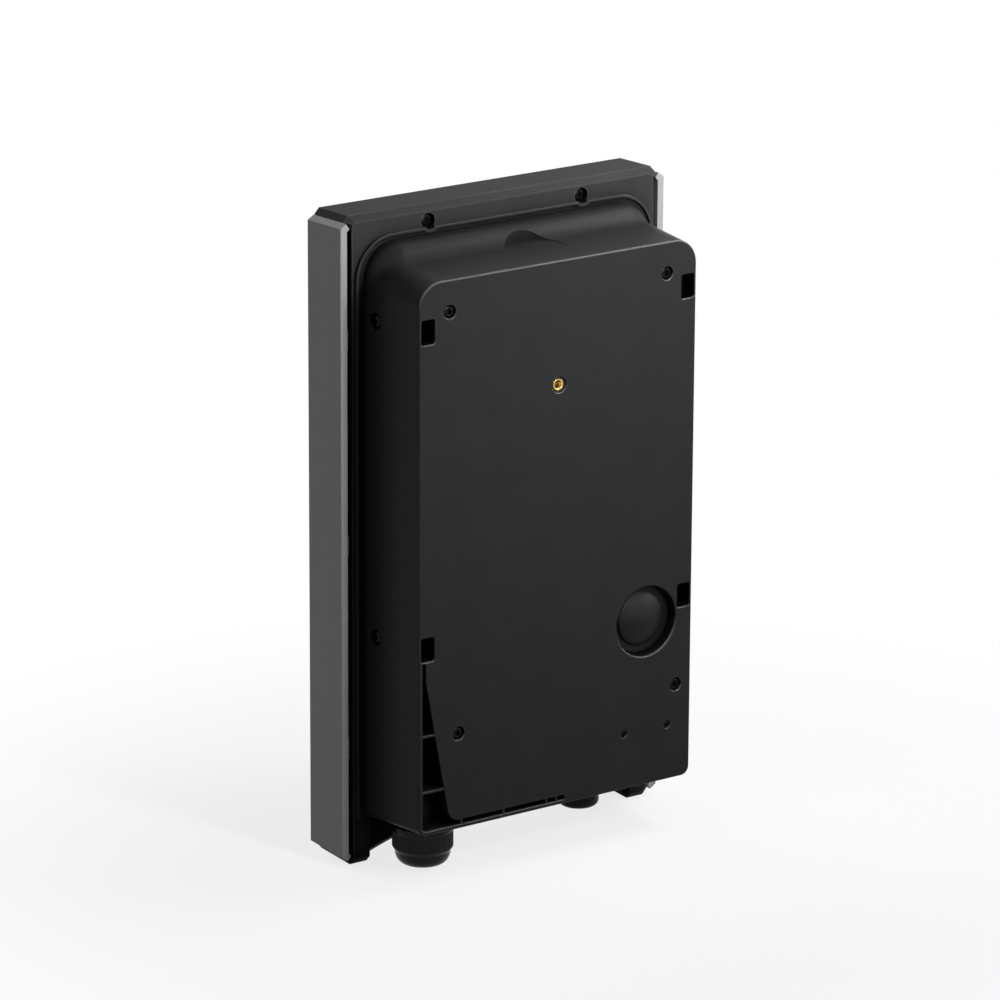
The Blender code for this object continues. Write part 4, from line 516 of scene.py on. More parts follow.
# The housing also gets a painted highlight on its upper rims.
HOUSING_LOOK = moulded(
    "black_housing", (0.0215, 0.0215, 0.0217), 0.34, grain=2600.0, bump=0.05, spread=0.04, specular=0.03,
    edge_highlight=2.4, shade=2.2, painted_rims=True
)

for part in frame["record"]["subparts"]:
    for slot in frame["nodes"][part["node"]].material_slots:
        slot.material = LOOKS[part["material_slot"]]


# Meshes are built in millimetres and turned into metres at the end
def new_object(name, bm):
    bmesh.ops.recalc_face_normals(bm, faces=bm.faces)
    bmesh.ops.scale(bm, vec=(MM, MM, MM), verts=bm.verts)
    mesh = bpy.data.meshes.new(name)
    bm.to_mesh(mesh)
    bm.free()
    obj = bpy.data.objects.new(name, mesh)
    bpy.context.scene.collection.objects.link(obj)
    return obj


def loft(rings):
    """A closed body through rings that have the same number of points."""
    bm = bmesh.new()
    rows = [[bm.verts.new(point) for point in ring] for ring in rings]
    for low, high in zip(rows, rows[1:]):
        for i in range(len(low)):
            j = (i + 1) % len(low)
            bm.faces.new((low[i], low[j], high[j], high[i]))
    bm.faces.new(rows[0])
    bm.faces.new(rows[-1])
    return bm


def prism(outline, y_low, y_high):
    return loft([[(x, y, z) for x, z in outline] for y in (y_low, y_high)])


def box(low, high):
    outline = [(low[0], low[2]), (high[0], low[2]), (high[0], high[2]), (low[0], high[2])]
    return prism(outline, low[1], high[1])


def turned(profile, segments=64, closed=False):
    """Spins a profile of (radius, height) points round Z. A closed profile makes a ring."""
    bm = bmesh.new()
    verts = [bm.verts.new((radius, 0, height)) for radius, height in profile]
    pairs = list(zip(verts, verts[1:]))
    if closed:
        pairs.append((verts[-1], verts[0]))
    edges = [bm.edges.new(pair) for pair in pairs]
    bmesh.ops.spin(
        bm, geom=verts + edges, cent=(0, 0, 0), axis=(0, 0, 1), angle=math.tau, steps=segments
    )
    bmesh.ops.remove_doubles(bm, verts=bm.verts, dist=0.001)
    return bm


def rod(radius, low, high, segments=64):
    return turned([(0, low), (radius, low), (radius, high), (0, high)], segments)


TOWARDS = {
    "+Z": Matrix.Identity(4),
    "-Z": Matrix.Rotation(math.pi, 4, "X"),
    "+Y": Matrix.Rotation(-math.pi / 2, 4, "X"),
    "-Y": Matrix.Rotation(math.pi / 2, 4, "X"),
    "+X": Matrix.Rotation(math.pi / 2, 4, "Y"),
    "-X": Matrix.Rotation(-math.pi / 2, 4, "Y"),
}
SIDES = ((1, "+X"), (-1, "-X"))


def moved(bm, where=(0, 0, 0), towards="+Z"):
    bmesh.ops.transform(bm, matrix=Matrix.Translation(where) @ TOWARDS[towards], verts=bm.verts)
    return bm


def joined(parts):
    """One mesh that holds separate bodies, for cutters."""
    whole = bmesh.new()
    for part in parts:
        mesh = bpy.data.meshes.new("joined")
        part.to_mesh(mesh)
        part.free()
        whole.from_mesh(mesh)
        bpy.data.meshes.remove(mesh)
    return whole


def combined(target, steps):
    """Applies Boolean steps of (operation, object) to an object and takes the helpers away."""
    for number, (operation, helper) in enumerate(steps):
        modifier = target.modifiers.new(f"step_{number}", "BOOLEAN")
        modifier.operation = operation
        modifier.solver = "EXACT"
        modifier.object = helper
    graph = bpy.context.evaluated_depsgraph_get()
    mesh = bpy.data.meshes.new_from_object(target.evaluated_get(graph))
    target.modifiers.clear()
    old = target.data
    target.data = mesh
    mesh.name = target.name
    bpy.data.meshes.remove(old)
    for _, helper in steps:
        bpy.data.objects.remove(helper)
    return target


def cutter(name, *parts):
    return "DIFFERENCE", new_object(name, joined(parts))


def added(name, *parts):
    return "UNION", new_object(name, joined(parts))


def finished(obj, node_name, body, slot, angle=38):
    """Shades a piece, gives it its material and lets it stand for its CAD node."""
    obj.data.materials.clear()
    obj.data.materials.append(LOOKS[slot])
    obj.data.shade_smooth()
    obj.data.set_sharp_from_angle(angle=math.radians(angle))
    weighted = obj.modifiers.new("weighted", "WEIGHTED_NORMAL")
    weighted.keep_sharp = True
    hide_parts(node_name)
    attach(obj, body)
    return obj


# Outlines, as (x, z) points
def arc(centre_x, centre_z, radius, start, end, steps):
    points = []
    for step in range(steps + 1):
        angle = math.radians(start + (end - start) * step / steps)
        points.append((centre_x + radius * math.cos(angle), centre_z + radius * math.sin(angle)))
    return points


def curve(start, control, end, steps):
    points = []
    for step in range(1, steps + 1):
        t = step / steps
        points.append(tuple(
            (1 - t) ** 2 * a + 2 * t * (1 - t) * b + t**2 * c for a, b, c in zip(start, control, end)
        ))
    return points


def rounding(radius, steps):
    """How far in and how far down each ring of a rounded edge lies, from the face to the wall."""
    return [
        (radius * (1 - math.sin(math.pi / 2 * s / steps)), radius * (1 - math.cos(math.pi / 2 * s / steps)))
        for s in range(steps + 1)
    ]


TOP_STEPS = 20
FOOT_STEPS = 8


def round_rectangle(half_width, bottom, top, bottom_radius, top_radius,
                    top_steps=TOP_STEPS, foot_steps=FOOT_STEPS):
    outline = arc(half_width - top_radius, top - top_radius, top_radius, 0, 90, top_steps)
    outline += arc(top_radius - half_width, top - top_radius, top_radius, 90, 180, top_steps)
    outline += arc(bottom_radius - half_width, bottom + bottom_radius, bottom_radius, 180, 270, foot_steps)
    outline += arc(half_width - bottom_radius, bottom + bottom_radius, bottom_radius, 270, 360, foot_steps)
    return outline


def mirrored(half):
    return half + [(-x, z) for x, z in reversed(half)]


# Slab
def slab_half_height(y):
    share = (y - SLAB_FRONT_Y) / (SLAB_REAR_Y - REAR_BEVEL - SLAB_FRONT_Y)
    return SLAB_HALF_HEIGHT_FRONT + SLAB_FLARE * min(share, 1.0)


def slab_outline(half_height, inset):
    drop = half_height - inset
    half = [
        (TRIM_OUTER_X - CORNER_CHAMFER - inset, drop),
        (TRIM_INNER_X + TRIM_SHOULDER_WIDTH - LIP_SIDE_GAP - inset, drop - TRIM_SHOULDER_DROP + LIP_TOP_GAP),
        (TRIM_SPUR_X - GAP - inset, drop - TRIM_SPUR_DROP + LIP_TOP_GAP),
        (TRIM_SPUR_X - GAP - inset, drop - LIP_HEEL_DROP),
        (FRAME_HALF_WIDTH - inset, drop - LIP_FOOT_DROP),
    ]
    return mirrored(half + [(x, -z) for x, z in reversed(half)])


def rear_face_outline(back):
    """The edge of the rear face, with a small rounding where back is above nought."""
    half_height = SLAB_HALF_HEIGHT - REAR_BEVEL - back
    side = FRAME_HALF_WIDTH - SIDE_BEVEL - back / 2
    centre_z = half_height - REAR_CORNER_RADIUS
    half = arc(side - REAR_CORNER_RADIUS, centre_z, REAR_CORNER_RADIUS, 90, 0, 2)
    half += [(side, centre_z - LIP_HEEL_DROP / 2), (side, centre_z - LIP_HEEL_DROP)]
    return mirrored(half + [(x, -z) for x, z in reversed(half)])


def arch_outline(grow):
    radius = ARCH_RADIUS + grow
    half_angle = math.degrees(math.asin(LEG_INNER_X / radius))
    crown = arc(0, ARCH_APEX_Z - ARCH_RADIUS, radius, 90 - half_angle, 90 + half_angle, 96)
    floor_z = -SLAB_HALF_HEIGHT - OVERSHOOT
    return [(LEG_INNER_X, floor_z), *crown, (-LEG_INNER_X, floor_z)]


def ring_lip_outline(back):
    """The raised lip's outline, drawn in by back on both of its sides."""
    half = RING_LIP_HALF_WIDTH
    centre_x, centre_z = half - RING_LIP_RADIUS, RING_LIP_TOP_Z - RING_LIP_RADIUS
    inner_half = half - RING_LIP_WIDTH + back
    outer = arc(centre_x, centre_z, RING_LIP_RADIUS - back, 0, 90, 24)
    inner = arc(centre_x, centre_z, RING_LIP_RADIUS - RING_LIP_WIDTH + back, 0, 90, 24)
    foot = [(inner_half, RING_LIP_FOOT_Z + back), (half - back, RING_LIP_FOOT_Z + back)]
    return (
        foot + outer + [(-x, z) for x, z in reversed(outer)]
        + [(-x, z) for x, z in reversed(foot)] + [(-x, z) for x, z in inner] + list(reversed(inner))
    )


def make_frame():
    stations = [
        (SLAB_FRONT_Y, FRONT_BEVEL), (SLAB_FRONT_Y + FRONT_BEVEL, 0.0), (SLAB_REAR_Y - REAR_BEVEL, 0.0)
    ]
    rings = [[(x, y, z) for x, z in slab_outline(slab_half_height(y), inset)] for y, inset in stations]
    rings.append([(x, SLAB_REAR_Y - REAR_EDGE_DROP, z) for x, z in rear_face_outline(0.0)])
    rings.append([(x, SLAB_REAR_Y, z) for x, z in rear_face_outline(REAR_EDGE_BACK)])
    frame_piece = new_object("frame_shell", loft(rings))
    foot_y = SLAB_REAR_Y - FOOT_RECESS_DEPTH
    chin_y = foot_y - FRAME_REAR_WALL
    inside_y = SLAB_REAR_Y - FRAME_REAR_WALL
    rear_half = CAVITY_HALF_WIDTH - CAVITY_STEP
    lip_top = SLAB_REAR_Y + RING_LIP_HEIGHT
    low, high = arch_outline(0), arch_outline(ARCH_BEVEL)
    arch = loft([
        [(x, SLAB_FRONT_Y - OVERSHOOT, z) for x, z in low],
        [(x, foot_y - ARCH_BEVEL, z) for x, z in low],
        [(x, foot_y, z) for x, z in high],
        [(x, SLAB_REAR_Y + OVERSHOOT, z) for x, z in high],
    ])
    lip = loft(
        [[(x, SLAB_REAR_Y - RING_LIP_ROOT, z) for x, z in ring_lip_outline(0)]]
        + [[(x, lip_top - down, z) for x, z in ring_lip_outline(back)]
           for back, down in reversed(rounding(RING_LIP_ROUNDING, 3))]
    )
    steps = [
        cutter("cavity", box((-CAVITY_HALF_WIDTH, SLAB_FRONT_Y - OVERSHOOT, CHIN_TOP_Z),
                             (CAVITY_HALF_WIDTH, chin_y, CAVITY_TOP_Z))),
        cutter("cavity_rear", box((-rear_half, chin_y - OVERSHOOT, FOOT_RECESS_TOP_Z + FRAME_REAR_WALL),
                                  (rear_half, inside_y, CAVITY_TOP_Z - CAVITY_STEP))),
        cutter("foot_recess", box((-LEG_INNER_X, foot_y, -SLAB_HALF_HEIGHT - 1),
                                  (LEG_INNER_X, SLAB_REAR_Y + OVERSHOOT, FOOT_RECESS_TOP_Z))),
        cutter("arch", arch),
        added("ring_lip", lip),
    ]
    for sign in (1, -1):
        x = sign * FRAME_SCREW_X
        bulge = arc(x, FRAME_SCREW_Z, LIP_BULGE_RADIUS, -150, -30, 24)
        steps.append(added("bulge", prism(bulge, SLAB_REAR_Y - LIP_BULGE_ROOT, lip_top - LIP_BULGE_DROP)))
        steps.append(added("boss", moved(
            rod(FRAME_BOSS_RADIUS, 1, FRAME_BOSS_DEPTH, 32), (x, SLAB_REAR_Y, FRAME_SCREW_Z), "-Y"
        )))
        deep, hole = FRAME_BOSS_DEPTH - FRAME_RECESS_DEPTH + OVERSHOOT, SHAFT_RADIUS + GAP
        beyond = FRAME_RECESS_DEPTH + RING_LIP_HEIGHT + OVERSHOOT
        steps.append(cutter("recess", moved(turned([
            (0, -deep), (hole, -deep), (hole, 0), (FRAME_RECESS_RADIUS, 0), (FRAME_RECESS_RADIUS, beyond),
            (0, beyond),
        ], 48), (x, SLAB_REAR_Y - FRAME_RECESS_DEPTH, FRAME_SCREW_Z), "+Y")))
    steps.append(cutter("opening", prism(
        round_rectangle(OPENING_HALF_WIDTH, OPENING_BOTTOM_Z, OPENING_TOP_Z, OPENING_FOOT_RADIUS,
                        OPENING_TOP_RADIUS, 8, 8),
        inside_y - OVERSHOOT, SLAB_REAR_Y + OVERSHOOT,
    )))
    for sign, towards in SIDES:
        low_x, high_x = sorted((sign * (LUG_OUTER_X - LUG_DEPTH), sign * LUG_OUTER_X))
        for z in SIDE_SCREWS_Z:
            steps.append(added("lug", box(
                (low_x, SLAB_REAR_Y - LUG_ROOT, z - LUG_HALF_HEIGHT),
                (high_x, SLAB_REAR_Y + LUG_RISE, z + LUG_HALF_HEIGHT),
            )))
            hole = rod(SHAFT_RADIUS + GAP, -LUG_DEPTH - OVERSHOOT, OVERSHOOT, 24)
            steps.append(cutter("lug_hole", moved(hole, (sign * LUG_OUTER_X, SIDE_SCREW_Y, z), towards)))
    finished(combined(frame_piece, steps), "front_frame", "box", "black_plastic", 25)


def make_trim(name, sign, node_name):
    def ring(y, inset):
        half_height = slab_half_height(y) - inset
        half = [
            (TRIM_INNER_X, half_height - TRIM_SPUR_ROOT_DROP),
            (TRIM_SPUR_X, half_height - TRIM_SPUR_DROP),
            (TRIM_INNER_X + TRIM_SHOULDER_WIDTH, half_height - TRIM_SHOULDER_DROP),
            (TRIM_OUTER_X - inset, half_height - TRIM_END_DROP),
        ]
        return [(sign * x, y, z) for x, z in half + [(x, -z) for x, z in reversed(half)]]

    rings = [ring(SLAB_FRONT_Y + down, back) for back, down in rounding(TRIM_BEVEL, 4)]
    rings += [ring(SLAB_REAR_Y - REAR_BEVEL, 0)]
    rings += [ring(SLAB_REAR_Y - down, back) for back, down in reversed(rounding(TRIM_BEVEL, 4))]
    trim = new_object(name, loft(rings))
    low_x, high_x = sorted((sign * (FRAME_HALF_WIDTH + GAP), sign * (TRIM_INNER_X + 1)))
    tabs = [
        box((low_x, TRIM_TAB_REAR_Y - TRIM_TAB_DEPTH, z - TRIM_TAB_LENGTH / 2),
            (high_x, TRIM_TAB_REAR_Y, z + TRIM_TAB_LENGTH / 2))
        for z in TRIM_TABS_Z
    ]
    finished(combined(trim, [added("tabs", *tabs)]), node_name, "box", "aluminium", 25)


# Housing
def housing_ring(depth, inset=0.0, late=0.0, top_steps=TOP_STEPS, foot_steps=FOOT_STEPS):
    """One section of the housing: its body, and the shoulder that swells from it to the wider root."""
    half_width = HOUSING_HALF_WIDTH + SIDE_DRAFT * depth - inset
    bottom = HOUSING_BOTTOM_Z - BOTTOM_SLOPE * depth + inset
    top = HOUSING_TOP_Z + SHELF_SLOPE * depth - inset
    foot_radius = max(BOTTOM_RADIUS - inset, BOTTOM_RADIUS / 4)
    body = round_rectangle(half_width, bottom, top, foot_radius, TOP_RADIUS - inset, top_steps, foot_steps)
    root = round_rectangle(half_width + ROOT_FLARE, bottom, top + SHOULDER_HEIGHT, foot_radius,
                           ROOT_TOP_RADIUS - inset, top_steps, foot_steps)
    ring = []
    for index, (low, high) in enumerate(zip(body, root)):
        share = max(0.0, min(1.0, min(index, 2 * top_steps + 1 - index) / top_steps))
        start = SHOULDER_DEPTH + SHOULDER_CORNER_DELAY * (1 - share) + late
        swell = 1 / (1 + math.exp((start - depth) / SHOULDER_SOFTNESS))
        ring.append((low[0] + (high[0] - low[0]) * swell, -depth, low[1] + (high[1] - low[1]) * swell))
    return ring


def pocket_outline(grow):
    edge = [(x - grow, z) for x, z in POCKET_EDGE]
    outer = POCKET_OUTER_X + grow
    slit_z = POCKET_SLIT_Z + grow
    slit_x = POCKET_SLIT_END_X - grow
    bottom = POCKET_BOTTOM_Z - grow
    outline = [(outer, POCKET_TOP_Z + grow), (edge[0][0], POCKET_TOP_Z + grow)]
    outline += edge
    corner, end = (POCKET_ROUND_CORNER_X - grow, slit_z), (POCKET_ROUND_END_X - grow, slit_z)
    outline += curve(edge[-1], corner, end, 16)
    outline += [(slit_x, slit_z), (slit_x, bottom)]
    outline += arc(outer - POCKET_FOOT_RADIUS, bottom + POCKET_FOOT_RADIUS, POCKET_FOOT_RADIUS, 270, 360, 12)
    return outline


def lip_profile(lip, steps=4):
    """How far out and how far down each ring of a hole's rounded rim lies, from its wall to the face."""
    angles = [math.radians(80 * step / steps) for step in range(steps + 1)]
    return [(lip * (1 - math.cos(angle)), lip * (1 - math.sin(angle))) for angle in angles]


def flared(outline_of, depth, lip):
    """A cutter along Y whose rim in the wall face is rounded."""
    rings = [[(x, -depth, z) for x, z in outline_of(0.0)]]
    for grow, down in lip_profile(lip):
        rings.append([(x, -down, z) for x, z in outline_of(grow)])
    rings.append([(x, OVERSHOOT, z) for x, z in outline_of(grow)])
    return loft(rings)


def recess(radius, depth, hole_radius, hole_depth, lip=0.5, segments=64):
    """A cutter along +Z from a hole's end up through a recess with a rounded rim at height 0."""
    profile = [(0, -hole_depth), (hole_radius, -hole_depth), (hole_radius, -depth), (radius, -depth)]
    profile += [(radius + grow, -down) for grow, down in lip_profile(lip)]
    wide = profile[-1][0]
    return turned(profile + [(wide, OVERSHOOT), (0, OVERSHOOT)], segments)


def slot_cutter(x, z):
    def outline_of(grow):
        points = round_rectangle(SLOT_HALF_WIDTH + grow, -SLOT_HALF_HEIGHT - grow, SLOT_HALF_HEIGHT + grow,
                                 SLOT_CORNER + grow, SLOT_CORNER + grow, 6, 6)
        return [(x + px, z + pz) for px, pz in points]
    return flared(outline_of, SLOT_DEPTH, SLOT_LIP)


def slot_wall(x, z):
    half_width, half_height = SLOT_HALF_WIDTH + SLOT_WALL, SLOT_HALF_HEIGHT + SLOT_WALL
    return box((x - half_width, -SLOT_DEPTH - SLOT_WALL, z - half_height),
               (x + half_width, OVERSHOOT, z + half_height))


def make_pocket():
    """The space of the cut-away corner with its rounded rim, parted by its ribs."""
    pocket = new_object("pocket", flared(pocket_outline, POCKET_DEPTH, POCKET_LIP))
    half = POCKET_RIB / 2
    low_y, rib_top = -POCKET_DEPTH - OVERSHOOT, -POCKET_RIB_SINK
    low_z, high_z = POCKET_BOTTOM_Z - OVERSHOOT, POCKET_SLIT_Z + 2 * OVERSHOOT
    ribs = [box((0, low_y, z - half), (POCKET_OUTER_X + OVERSHOOT, rib_top, z + half)) for z in POCKET_RIBS_Z]
    ribs += [box((x - half, low_y, low_z), (x + half, rib_top, high_z)) for x in POCKET_RIBS_X]
    return combined(pocket, [cutter("ribs", *ribs)])


SHOULDER_SECTIONS = [SHOULDER_DEPTH + SHOULDER_SOFTNESS * step / 3 for step in range(-14, 19)]


def wall_boss(radius, depth, x, z, segments=24):
    return moved(rod(radius, -OVERSHOOT, depth, segments), (x, 0, z), "-Y")


def make_core():
    """The hollow of the housing, less the solid of its bosses, slots and pockets."""
    depths = [BACK_WALL, *SHOULDER_SECTIONS[8::6], OVERSHOOT - HOUSING_ROOT_Y]
    rings = [housing_ring(depth, HOUSING_WALL, SHOULDER_INNER_DELAY, 8, 3) for depth in depths]
    core = new_object("core", loft(rings))
    scoop = moved(rod(SCOOP_RADIUS + HOUSING_WALL, -HOUSING_WALL, 12, 48), (0, SCOOP_CENTRE_Y, SCOOP_FLOOR_Z))
    entry = wall_boss(
        ENTRY_RECESS_RADIUS + ENTRY_WALL, ENTRY_RECESS_DEPTH + ENTRY_FLOOR, ENTRY_X, ENTRY_Z, 48
    )
    pocket = prism(pocket_outline(POCKET_WALL), -POCKET_DEPTH - POCKET_WALL, OVERSHOOT)
    bosses = [slot_wall(x, z) for x, z in HOOK_SLOTS]
    bosses += [wall_boss(PLATE_BOSS_RADIUS, PLATE_BOSS_DEPTH, x, z) for x, z in PLATE_SCREWS]
    clamp_radius = SMALL_HEAD_RADIUS + CLAMP_BOSS_WALL
    bosses += [wall_boss(clamp_radius, CLAMP_BOSS_DEPTH, x, z) for x, z in CLAMP_SCREWS]
    bosses.append(wall_boss(
        INSERT_BOSS_RADIUS, INSERT_SINK + INSERT_LENGTH + INSERT_BOSS_FLOOR, 0, INSERT_Z
    ))
    seats = [
        moved(rod(radius, -10, 5, 48), (x, GLAND_Y, SEAT_Z))
        for x, radius in ((GLAND_X, SEAT_RADIUS + SEAT_WALL), (BLANK_X, BLANK_RADIUS + BLANK_BOSS_WALL))
    ]
    for sign in (1, -1):
        inner = HOUSING_HALF_WIDTH - SIDE_BOSS_DEPTH
        low_x, high_x = sorted((sign * inner, sign * (inner + 2 * SIDE_BOSS_DEPTH)))
        seats += [
            box((low_x, SIDE_SCREW_Y - SIDE_BLOCK_FRONT, z - LUG_HALF_HEIGHT),
                (high_x, SIDE_SCREW_Y + SIDE_BLOCK_REAR, z + LUG_HALF_HEIGHT))
            for z in SIDE_SCREWS_Z
        ]
    return combined(core, [
        cutter("wide_walls", scoop, entry, pocket), cutter("bosses", *bosses), cutter("seats", *seats)
    ])


def make_scoop():
    """The round scoop from above, with a floor that slopes out into the shelf."""
    ring = arc(0, SCOOP_CENTRE_Y, SCOOP_RADIUS, 0, 357.5, 143)
    floor = [(x, y, SCOOP_FLOOR_Z + SCOOP_FLOOR_SLOPE * (SCOOP_CENTRE_Y - y)) for x, y in ring]
    return loft([floor, [(x, y, HOUSING_TOP_Z + 20) for x, y in ring]])


def bottom_entry(hole_radius, seat_radius):
    """A cutter for a hole in the housing's foot and the flat seat round it."""
    return turned([
        (0, -SEAT_CUT), (hole_radius, -SEAT_CUT), (hole_radius, 0), (seat_radius, 0), (seat_radius, SEAT_CUT),
        (0, SEAT_CUT),
    ])


def make_housing():
    rings = [housing_ring(down, back) for back, down in rounding(RIM_ROUNDING, 6)]
    rings += [housing_ring(depth) for depth in (*RIM_STATIONS, *SHOULDER_SECTIONS, -HOUSING_ROOT_Y)]
    shell = new_object("housing_shell", loft(rings))
    hole, small_hole = SHAFT_RADIUS + GAP, SMALL_SHAFT_RADIUS + GAP
    head = HEAD_RADIUS + RECESS_CLEARANCE
    holes = [
        moved(recess(head, PLATE_RECESS_DEPTH, hole, PLATE_BOSS_DEPTH + OVERSHOOT), (x, 0, z), "+Y")
        for x, z in PLATE_SCREWS
    ]
    holes += [
        moved(recess(SMALL_HEAD_RADIUS + GAP, CLAMP_RECESS_DEPTH, small_hole, CLAMP_BOSS_DEPTH + OVERSHOOT,
                     CLAMP_RECESS_LIP), (x, 0, z), "+Y")
        for x, z in CLAMP_SCREWS
    ]
    holes.append(moved(
        recess(INSERT_RECESS_RADIUS, INSERT_SINK, INSERT_RADIUS + GAP, INSERT_SINK + INSERT_LENGTH + GAP,
               INSERT_RECESS_LIP),
        (0, 0, INSERT_Z), "+Y"
    ))
    holes.append(moved(
        recess(ENTRY_RECESS_RADIUS, ENTRY_RECESS_DEPTH, ENTRY_HOLE_RADIUS,
               ENTRY_RECESS_DEPTH + ENTRY_FLOOR + OVERSHOOT, ENTRY_RECESS_LIP, 128),
        (ENTRY_X, 0, ENTRY_Z), "+Y"
    ))
    for sign, towards in SIDES:
        holes += [
            moved(recess(SIDE_RECESS_RADIUS, SIDE_RECESS_DEPTH, hole, SIDE_BOSS_DEPTH + OVERSHOOT,
                         SIDE_RECESS_LIP), (sign * SIDE_SCREW_X, SIDE_SCREW_Y, z), towards)
            for z in SIDE_SCREWS_Z
        ]
    for x, hole_radius, seat_radius in (
        (GLAND_X, THREAD_RADIUS + GAP, SEAT_RADIUS),
        (BLANK_X, BLANK_STEM_RADIUS + GAP, BLANK_RADIUS + 2 * GAP),
    ):
        holes.append(moved(bottom_entry(hole_radius, seat_radius), (x, GLAND_Y, SEAT_Z), "-Z"))
    combined(shell, [
        ("DIFFERENCE", make_core()),
        cutter("scoop", make_scoop()),
        ("DIFFERENCE", make_pocket()),
        cutter("slots", *[slot_cutter(x, z) for x, z in HOOK_SLOTS]),
        cutter("holes", *holes),
    ])
    finished(shell, "rear_housing", "box", "black_plastic", 30)
    shell.material_slots[0].material = HOUSING_LOOK


# Fasteners and plugs
def six_lobe(radius, low, high, steps=8):
    """A cutter for a six-lobe socket."""
    outline = []
    for step in range(6 * steps):
        angle = math.tau * step / (6 * steps)
        reach = radius * (1 - LOBE_WAVE + LOBE_WAVE * math.cos(6 * angle))
        outline.append((reach * math.cos(angle), reach * math.sin(angle)))
    return loft([[(x, y, z) for x, y in outline] for z in (low, high)])


def make_screw(name, node_name, where, towards, small=False, length=PLATE_SCREW_LENGTH):
    head, height, shaft = HEAD_RADIUS, HEAD_HEIGHT, SHAFT_RADIUS
    if small:
        head, height, shaft = SMALL_HEAD_RADIUS, SMALL_HEAD_HEIGHT, SMALL_SHAFT_RADIUS
    profile = [
        (0, -length), (shaft - SHAFT_TIP, -length), (shaft, -length + SHAFT_TIP), (shaft, 0),
        (head - HEAD_EDGE, 0), (head, HEAD_EDGE),
    ]
    side = height * HEAD_SIDE_SHARE
    for step in range(9):
        angle = math.pi / 2 * step / 8
        profile.append((
            head * (1 - HEAD_CROWN_SHARE * (1 - math.cos(angle))), side + (height - side) * math.sin(angle)
        ))
    profile.append((0, height))
    screw = new_object(name, turned(profile, 48))
    socket = six_lobe(head * SOCKET_SHARE, height * SOCKET_FLOOR_SHARE, height + OVERSHOOT)
    combined(screw, [cutter("socket", socket)])
    screw.data.transform(Matrix.Translation(Vector(where) * MM) @ TOWARDS[towards])
    finished(screw, node_name, "box", "black_screw", 35)


def make_screws():
    for number, (x, z) in enumerate(PLATE_SCREWS, 1):
        make_screw(f"plate_head_{number}", f"plate_screw_{number}",
                   (x, GAP - PLATE_RECESS_DEPTH, z), "+Y")
    for number, (x, z) in enumerate(CLAMP_SCREWS, 1):
        make_screw(f"clamp_head_{number}", f"clamp_screw_{number}",
                   (x, GAP - CLAMP_RECESS_DEPTH, z), "+Y", True, CLAMP_SCREW_LENGTH)
    for number, x in enumerate((FRAME_SCREW_X, -FRAME_SCREW_X), 1):
        make_screw(f"frame_head_{number}", f"frame_screw_{number}",
                   (x, SLAB_REAR_Y - FRAME_RECESS_DEPTH + GAP, FRAME_SCREW_Z), "+Y",
                   False, FRAME_SCREW_LENGTH)
    sides = [(sign, towards, z) for sign, towards in SIDES for z in SIDE_SCREWS_Z]
    for number, (sign, towards, z) in enumerate(sides, 1):
        seat_x = sign * (SIDE_SCREW_X - SIDE_RECESS_DEPTH + GAP)
        make_screw(f"side_head_{number}", f"side_screw_{number}",
                   (seat_x, SIDE_SCREW_Y, z), towards, False, SIDE_SCREW_LENGTH)


def make_insert():
    """A brass insert whose bore shows the thread's rings."""
    high, low = -INSERT_SINK, -INSERT_SINK - INSERT_LENGTH
    middle = (low + high) / 2
    waist = INSERT_RADIUS - INSERT_WAIST_DEPTH
    root = INSERT_BORE_RADIUS + INSERT_THREAD_DEPTH
    profile = [
        (INSERT_RADIUS - 0.2, low), (INSERT_RADIUS, low + 0.2), (INSERT_RADIUS, middle - 0.8),
        (waist, middle - 0.5), (waist, middle + 0.5), (INSERT_RADIUS, middle + 0.8),
        (INSERT_RADIUS, high - 0.15), (INSERT_RADIUS - 0.15, high), (INSERT_BORE_RADIUS + INSERT_MOUTH, high),
    ]
    z = high - INSERT_MOUTH
    while z > low + INSERT_THREAD_PITCH:
        profile += [(INSERT_BORE_RADIUS, z), (root, z - INSERT_THREAD_PITCH / 2)]
        z -= INSERT_THREAD_PITCH
    profile.append((INSERT_BORE_RADIUS, low))
    body = moved(turned(profile, 64, closed=True), (0, 0, INSERT_Z), "+Y")
    finished(new_object("insert_sleeve", body), "brass_insert", "box", "brass", 25)


def make_entry_disc():
    """The rubber plug: a softly domed disc over a stepped rim, with a groove between them."""
    rim = ENTRY_RECESS_RADIUS - GAP
    seat = -ENTRY_RECESS_DEPTH + GAP
    neck = ENTRY_HOLE_RADIUS - GAP
    inside = -ENTRY_RECESS_DEPTH - ENTRY_FLOOR - GAP
    top = -ENTRY_DISC_SINK
    radius = ENTRY_DISC_RADIUS
    profile = [(0, top)]
    for step in range(1, 12):
        share = 0.945 * step / 11
        profile.append((radius * share, top - ENTRY_DISC_DOME * share**2))
    edge = top - ENTRY_DISC_DOME
    profile += [(radius - back, edge - down) for back, down in rounding(ENTRY_DISC_EDGE, 5)]
    rim_top = edge - ENTRY_DISC_LEDGE
    profile += [(radius, rim_top), (radius + 0.25, rim_top - 0.25), (radius + 1.3, rim_top - 0.3)]
    profile += [(rim - back, rim_top - 0.15 - down) for back, down in rounding(ENTRY_RIM_ROUNDING, 5)]
    bore, floor = neck - ENTRY_SKIRT_WALL, rim_top - ENTRY_DISC_FLOOR
    profile += [
        (rim, seat), (neck, seat), (neck, inside), (neck + BARB_REACH, inside - BARB_RISE),
        (neck - BARB_REACH, inside - ENTRY_SKIRT), (bore, inside - ENTRY_SKIRT), (bore, floor), (0, floor),
    ]
    disc = new_object("entry_disc", moved(turned(profile, 128), (ENTRY_X, 0, ENTRY_Z), "+Y"))
    finished(disc, "entry_plug", "box", "rubber", 40)


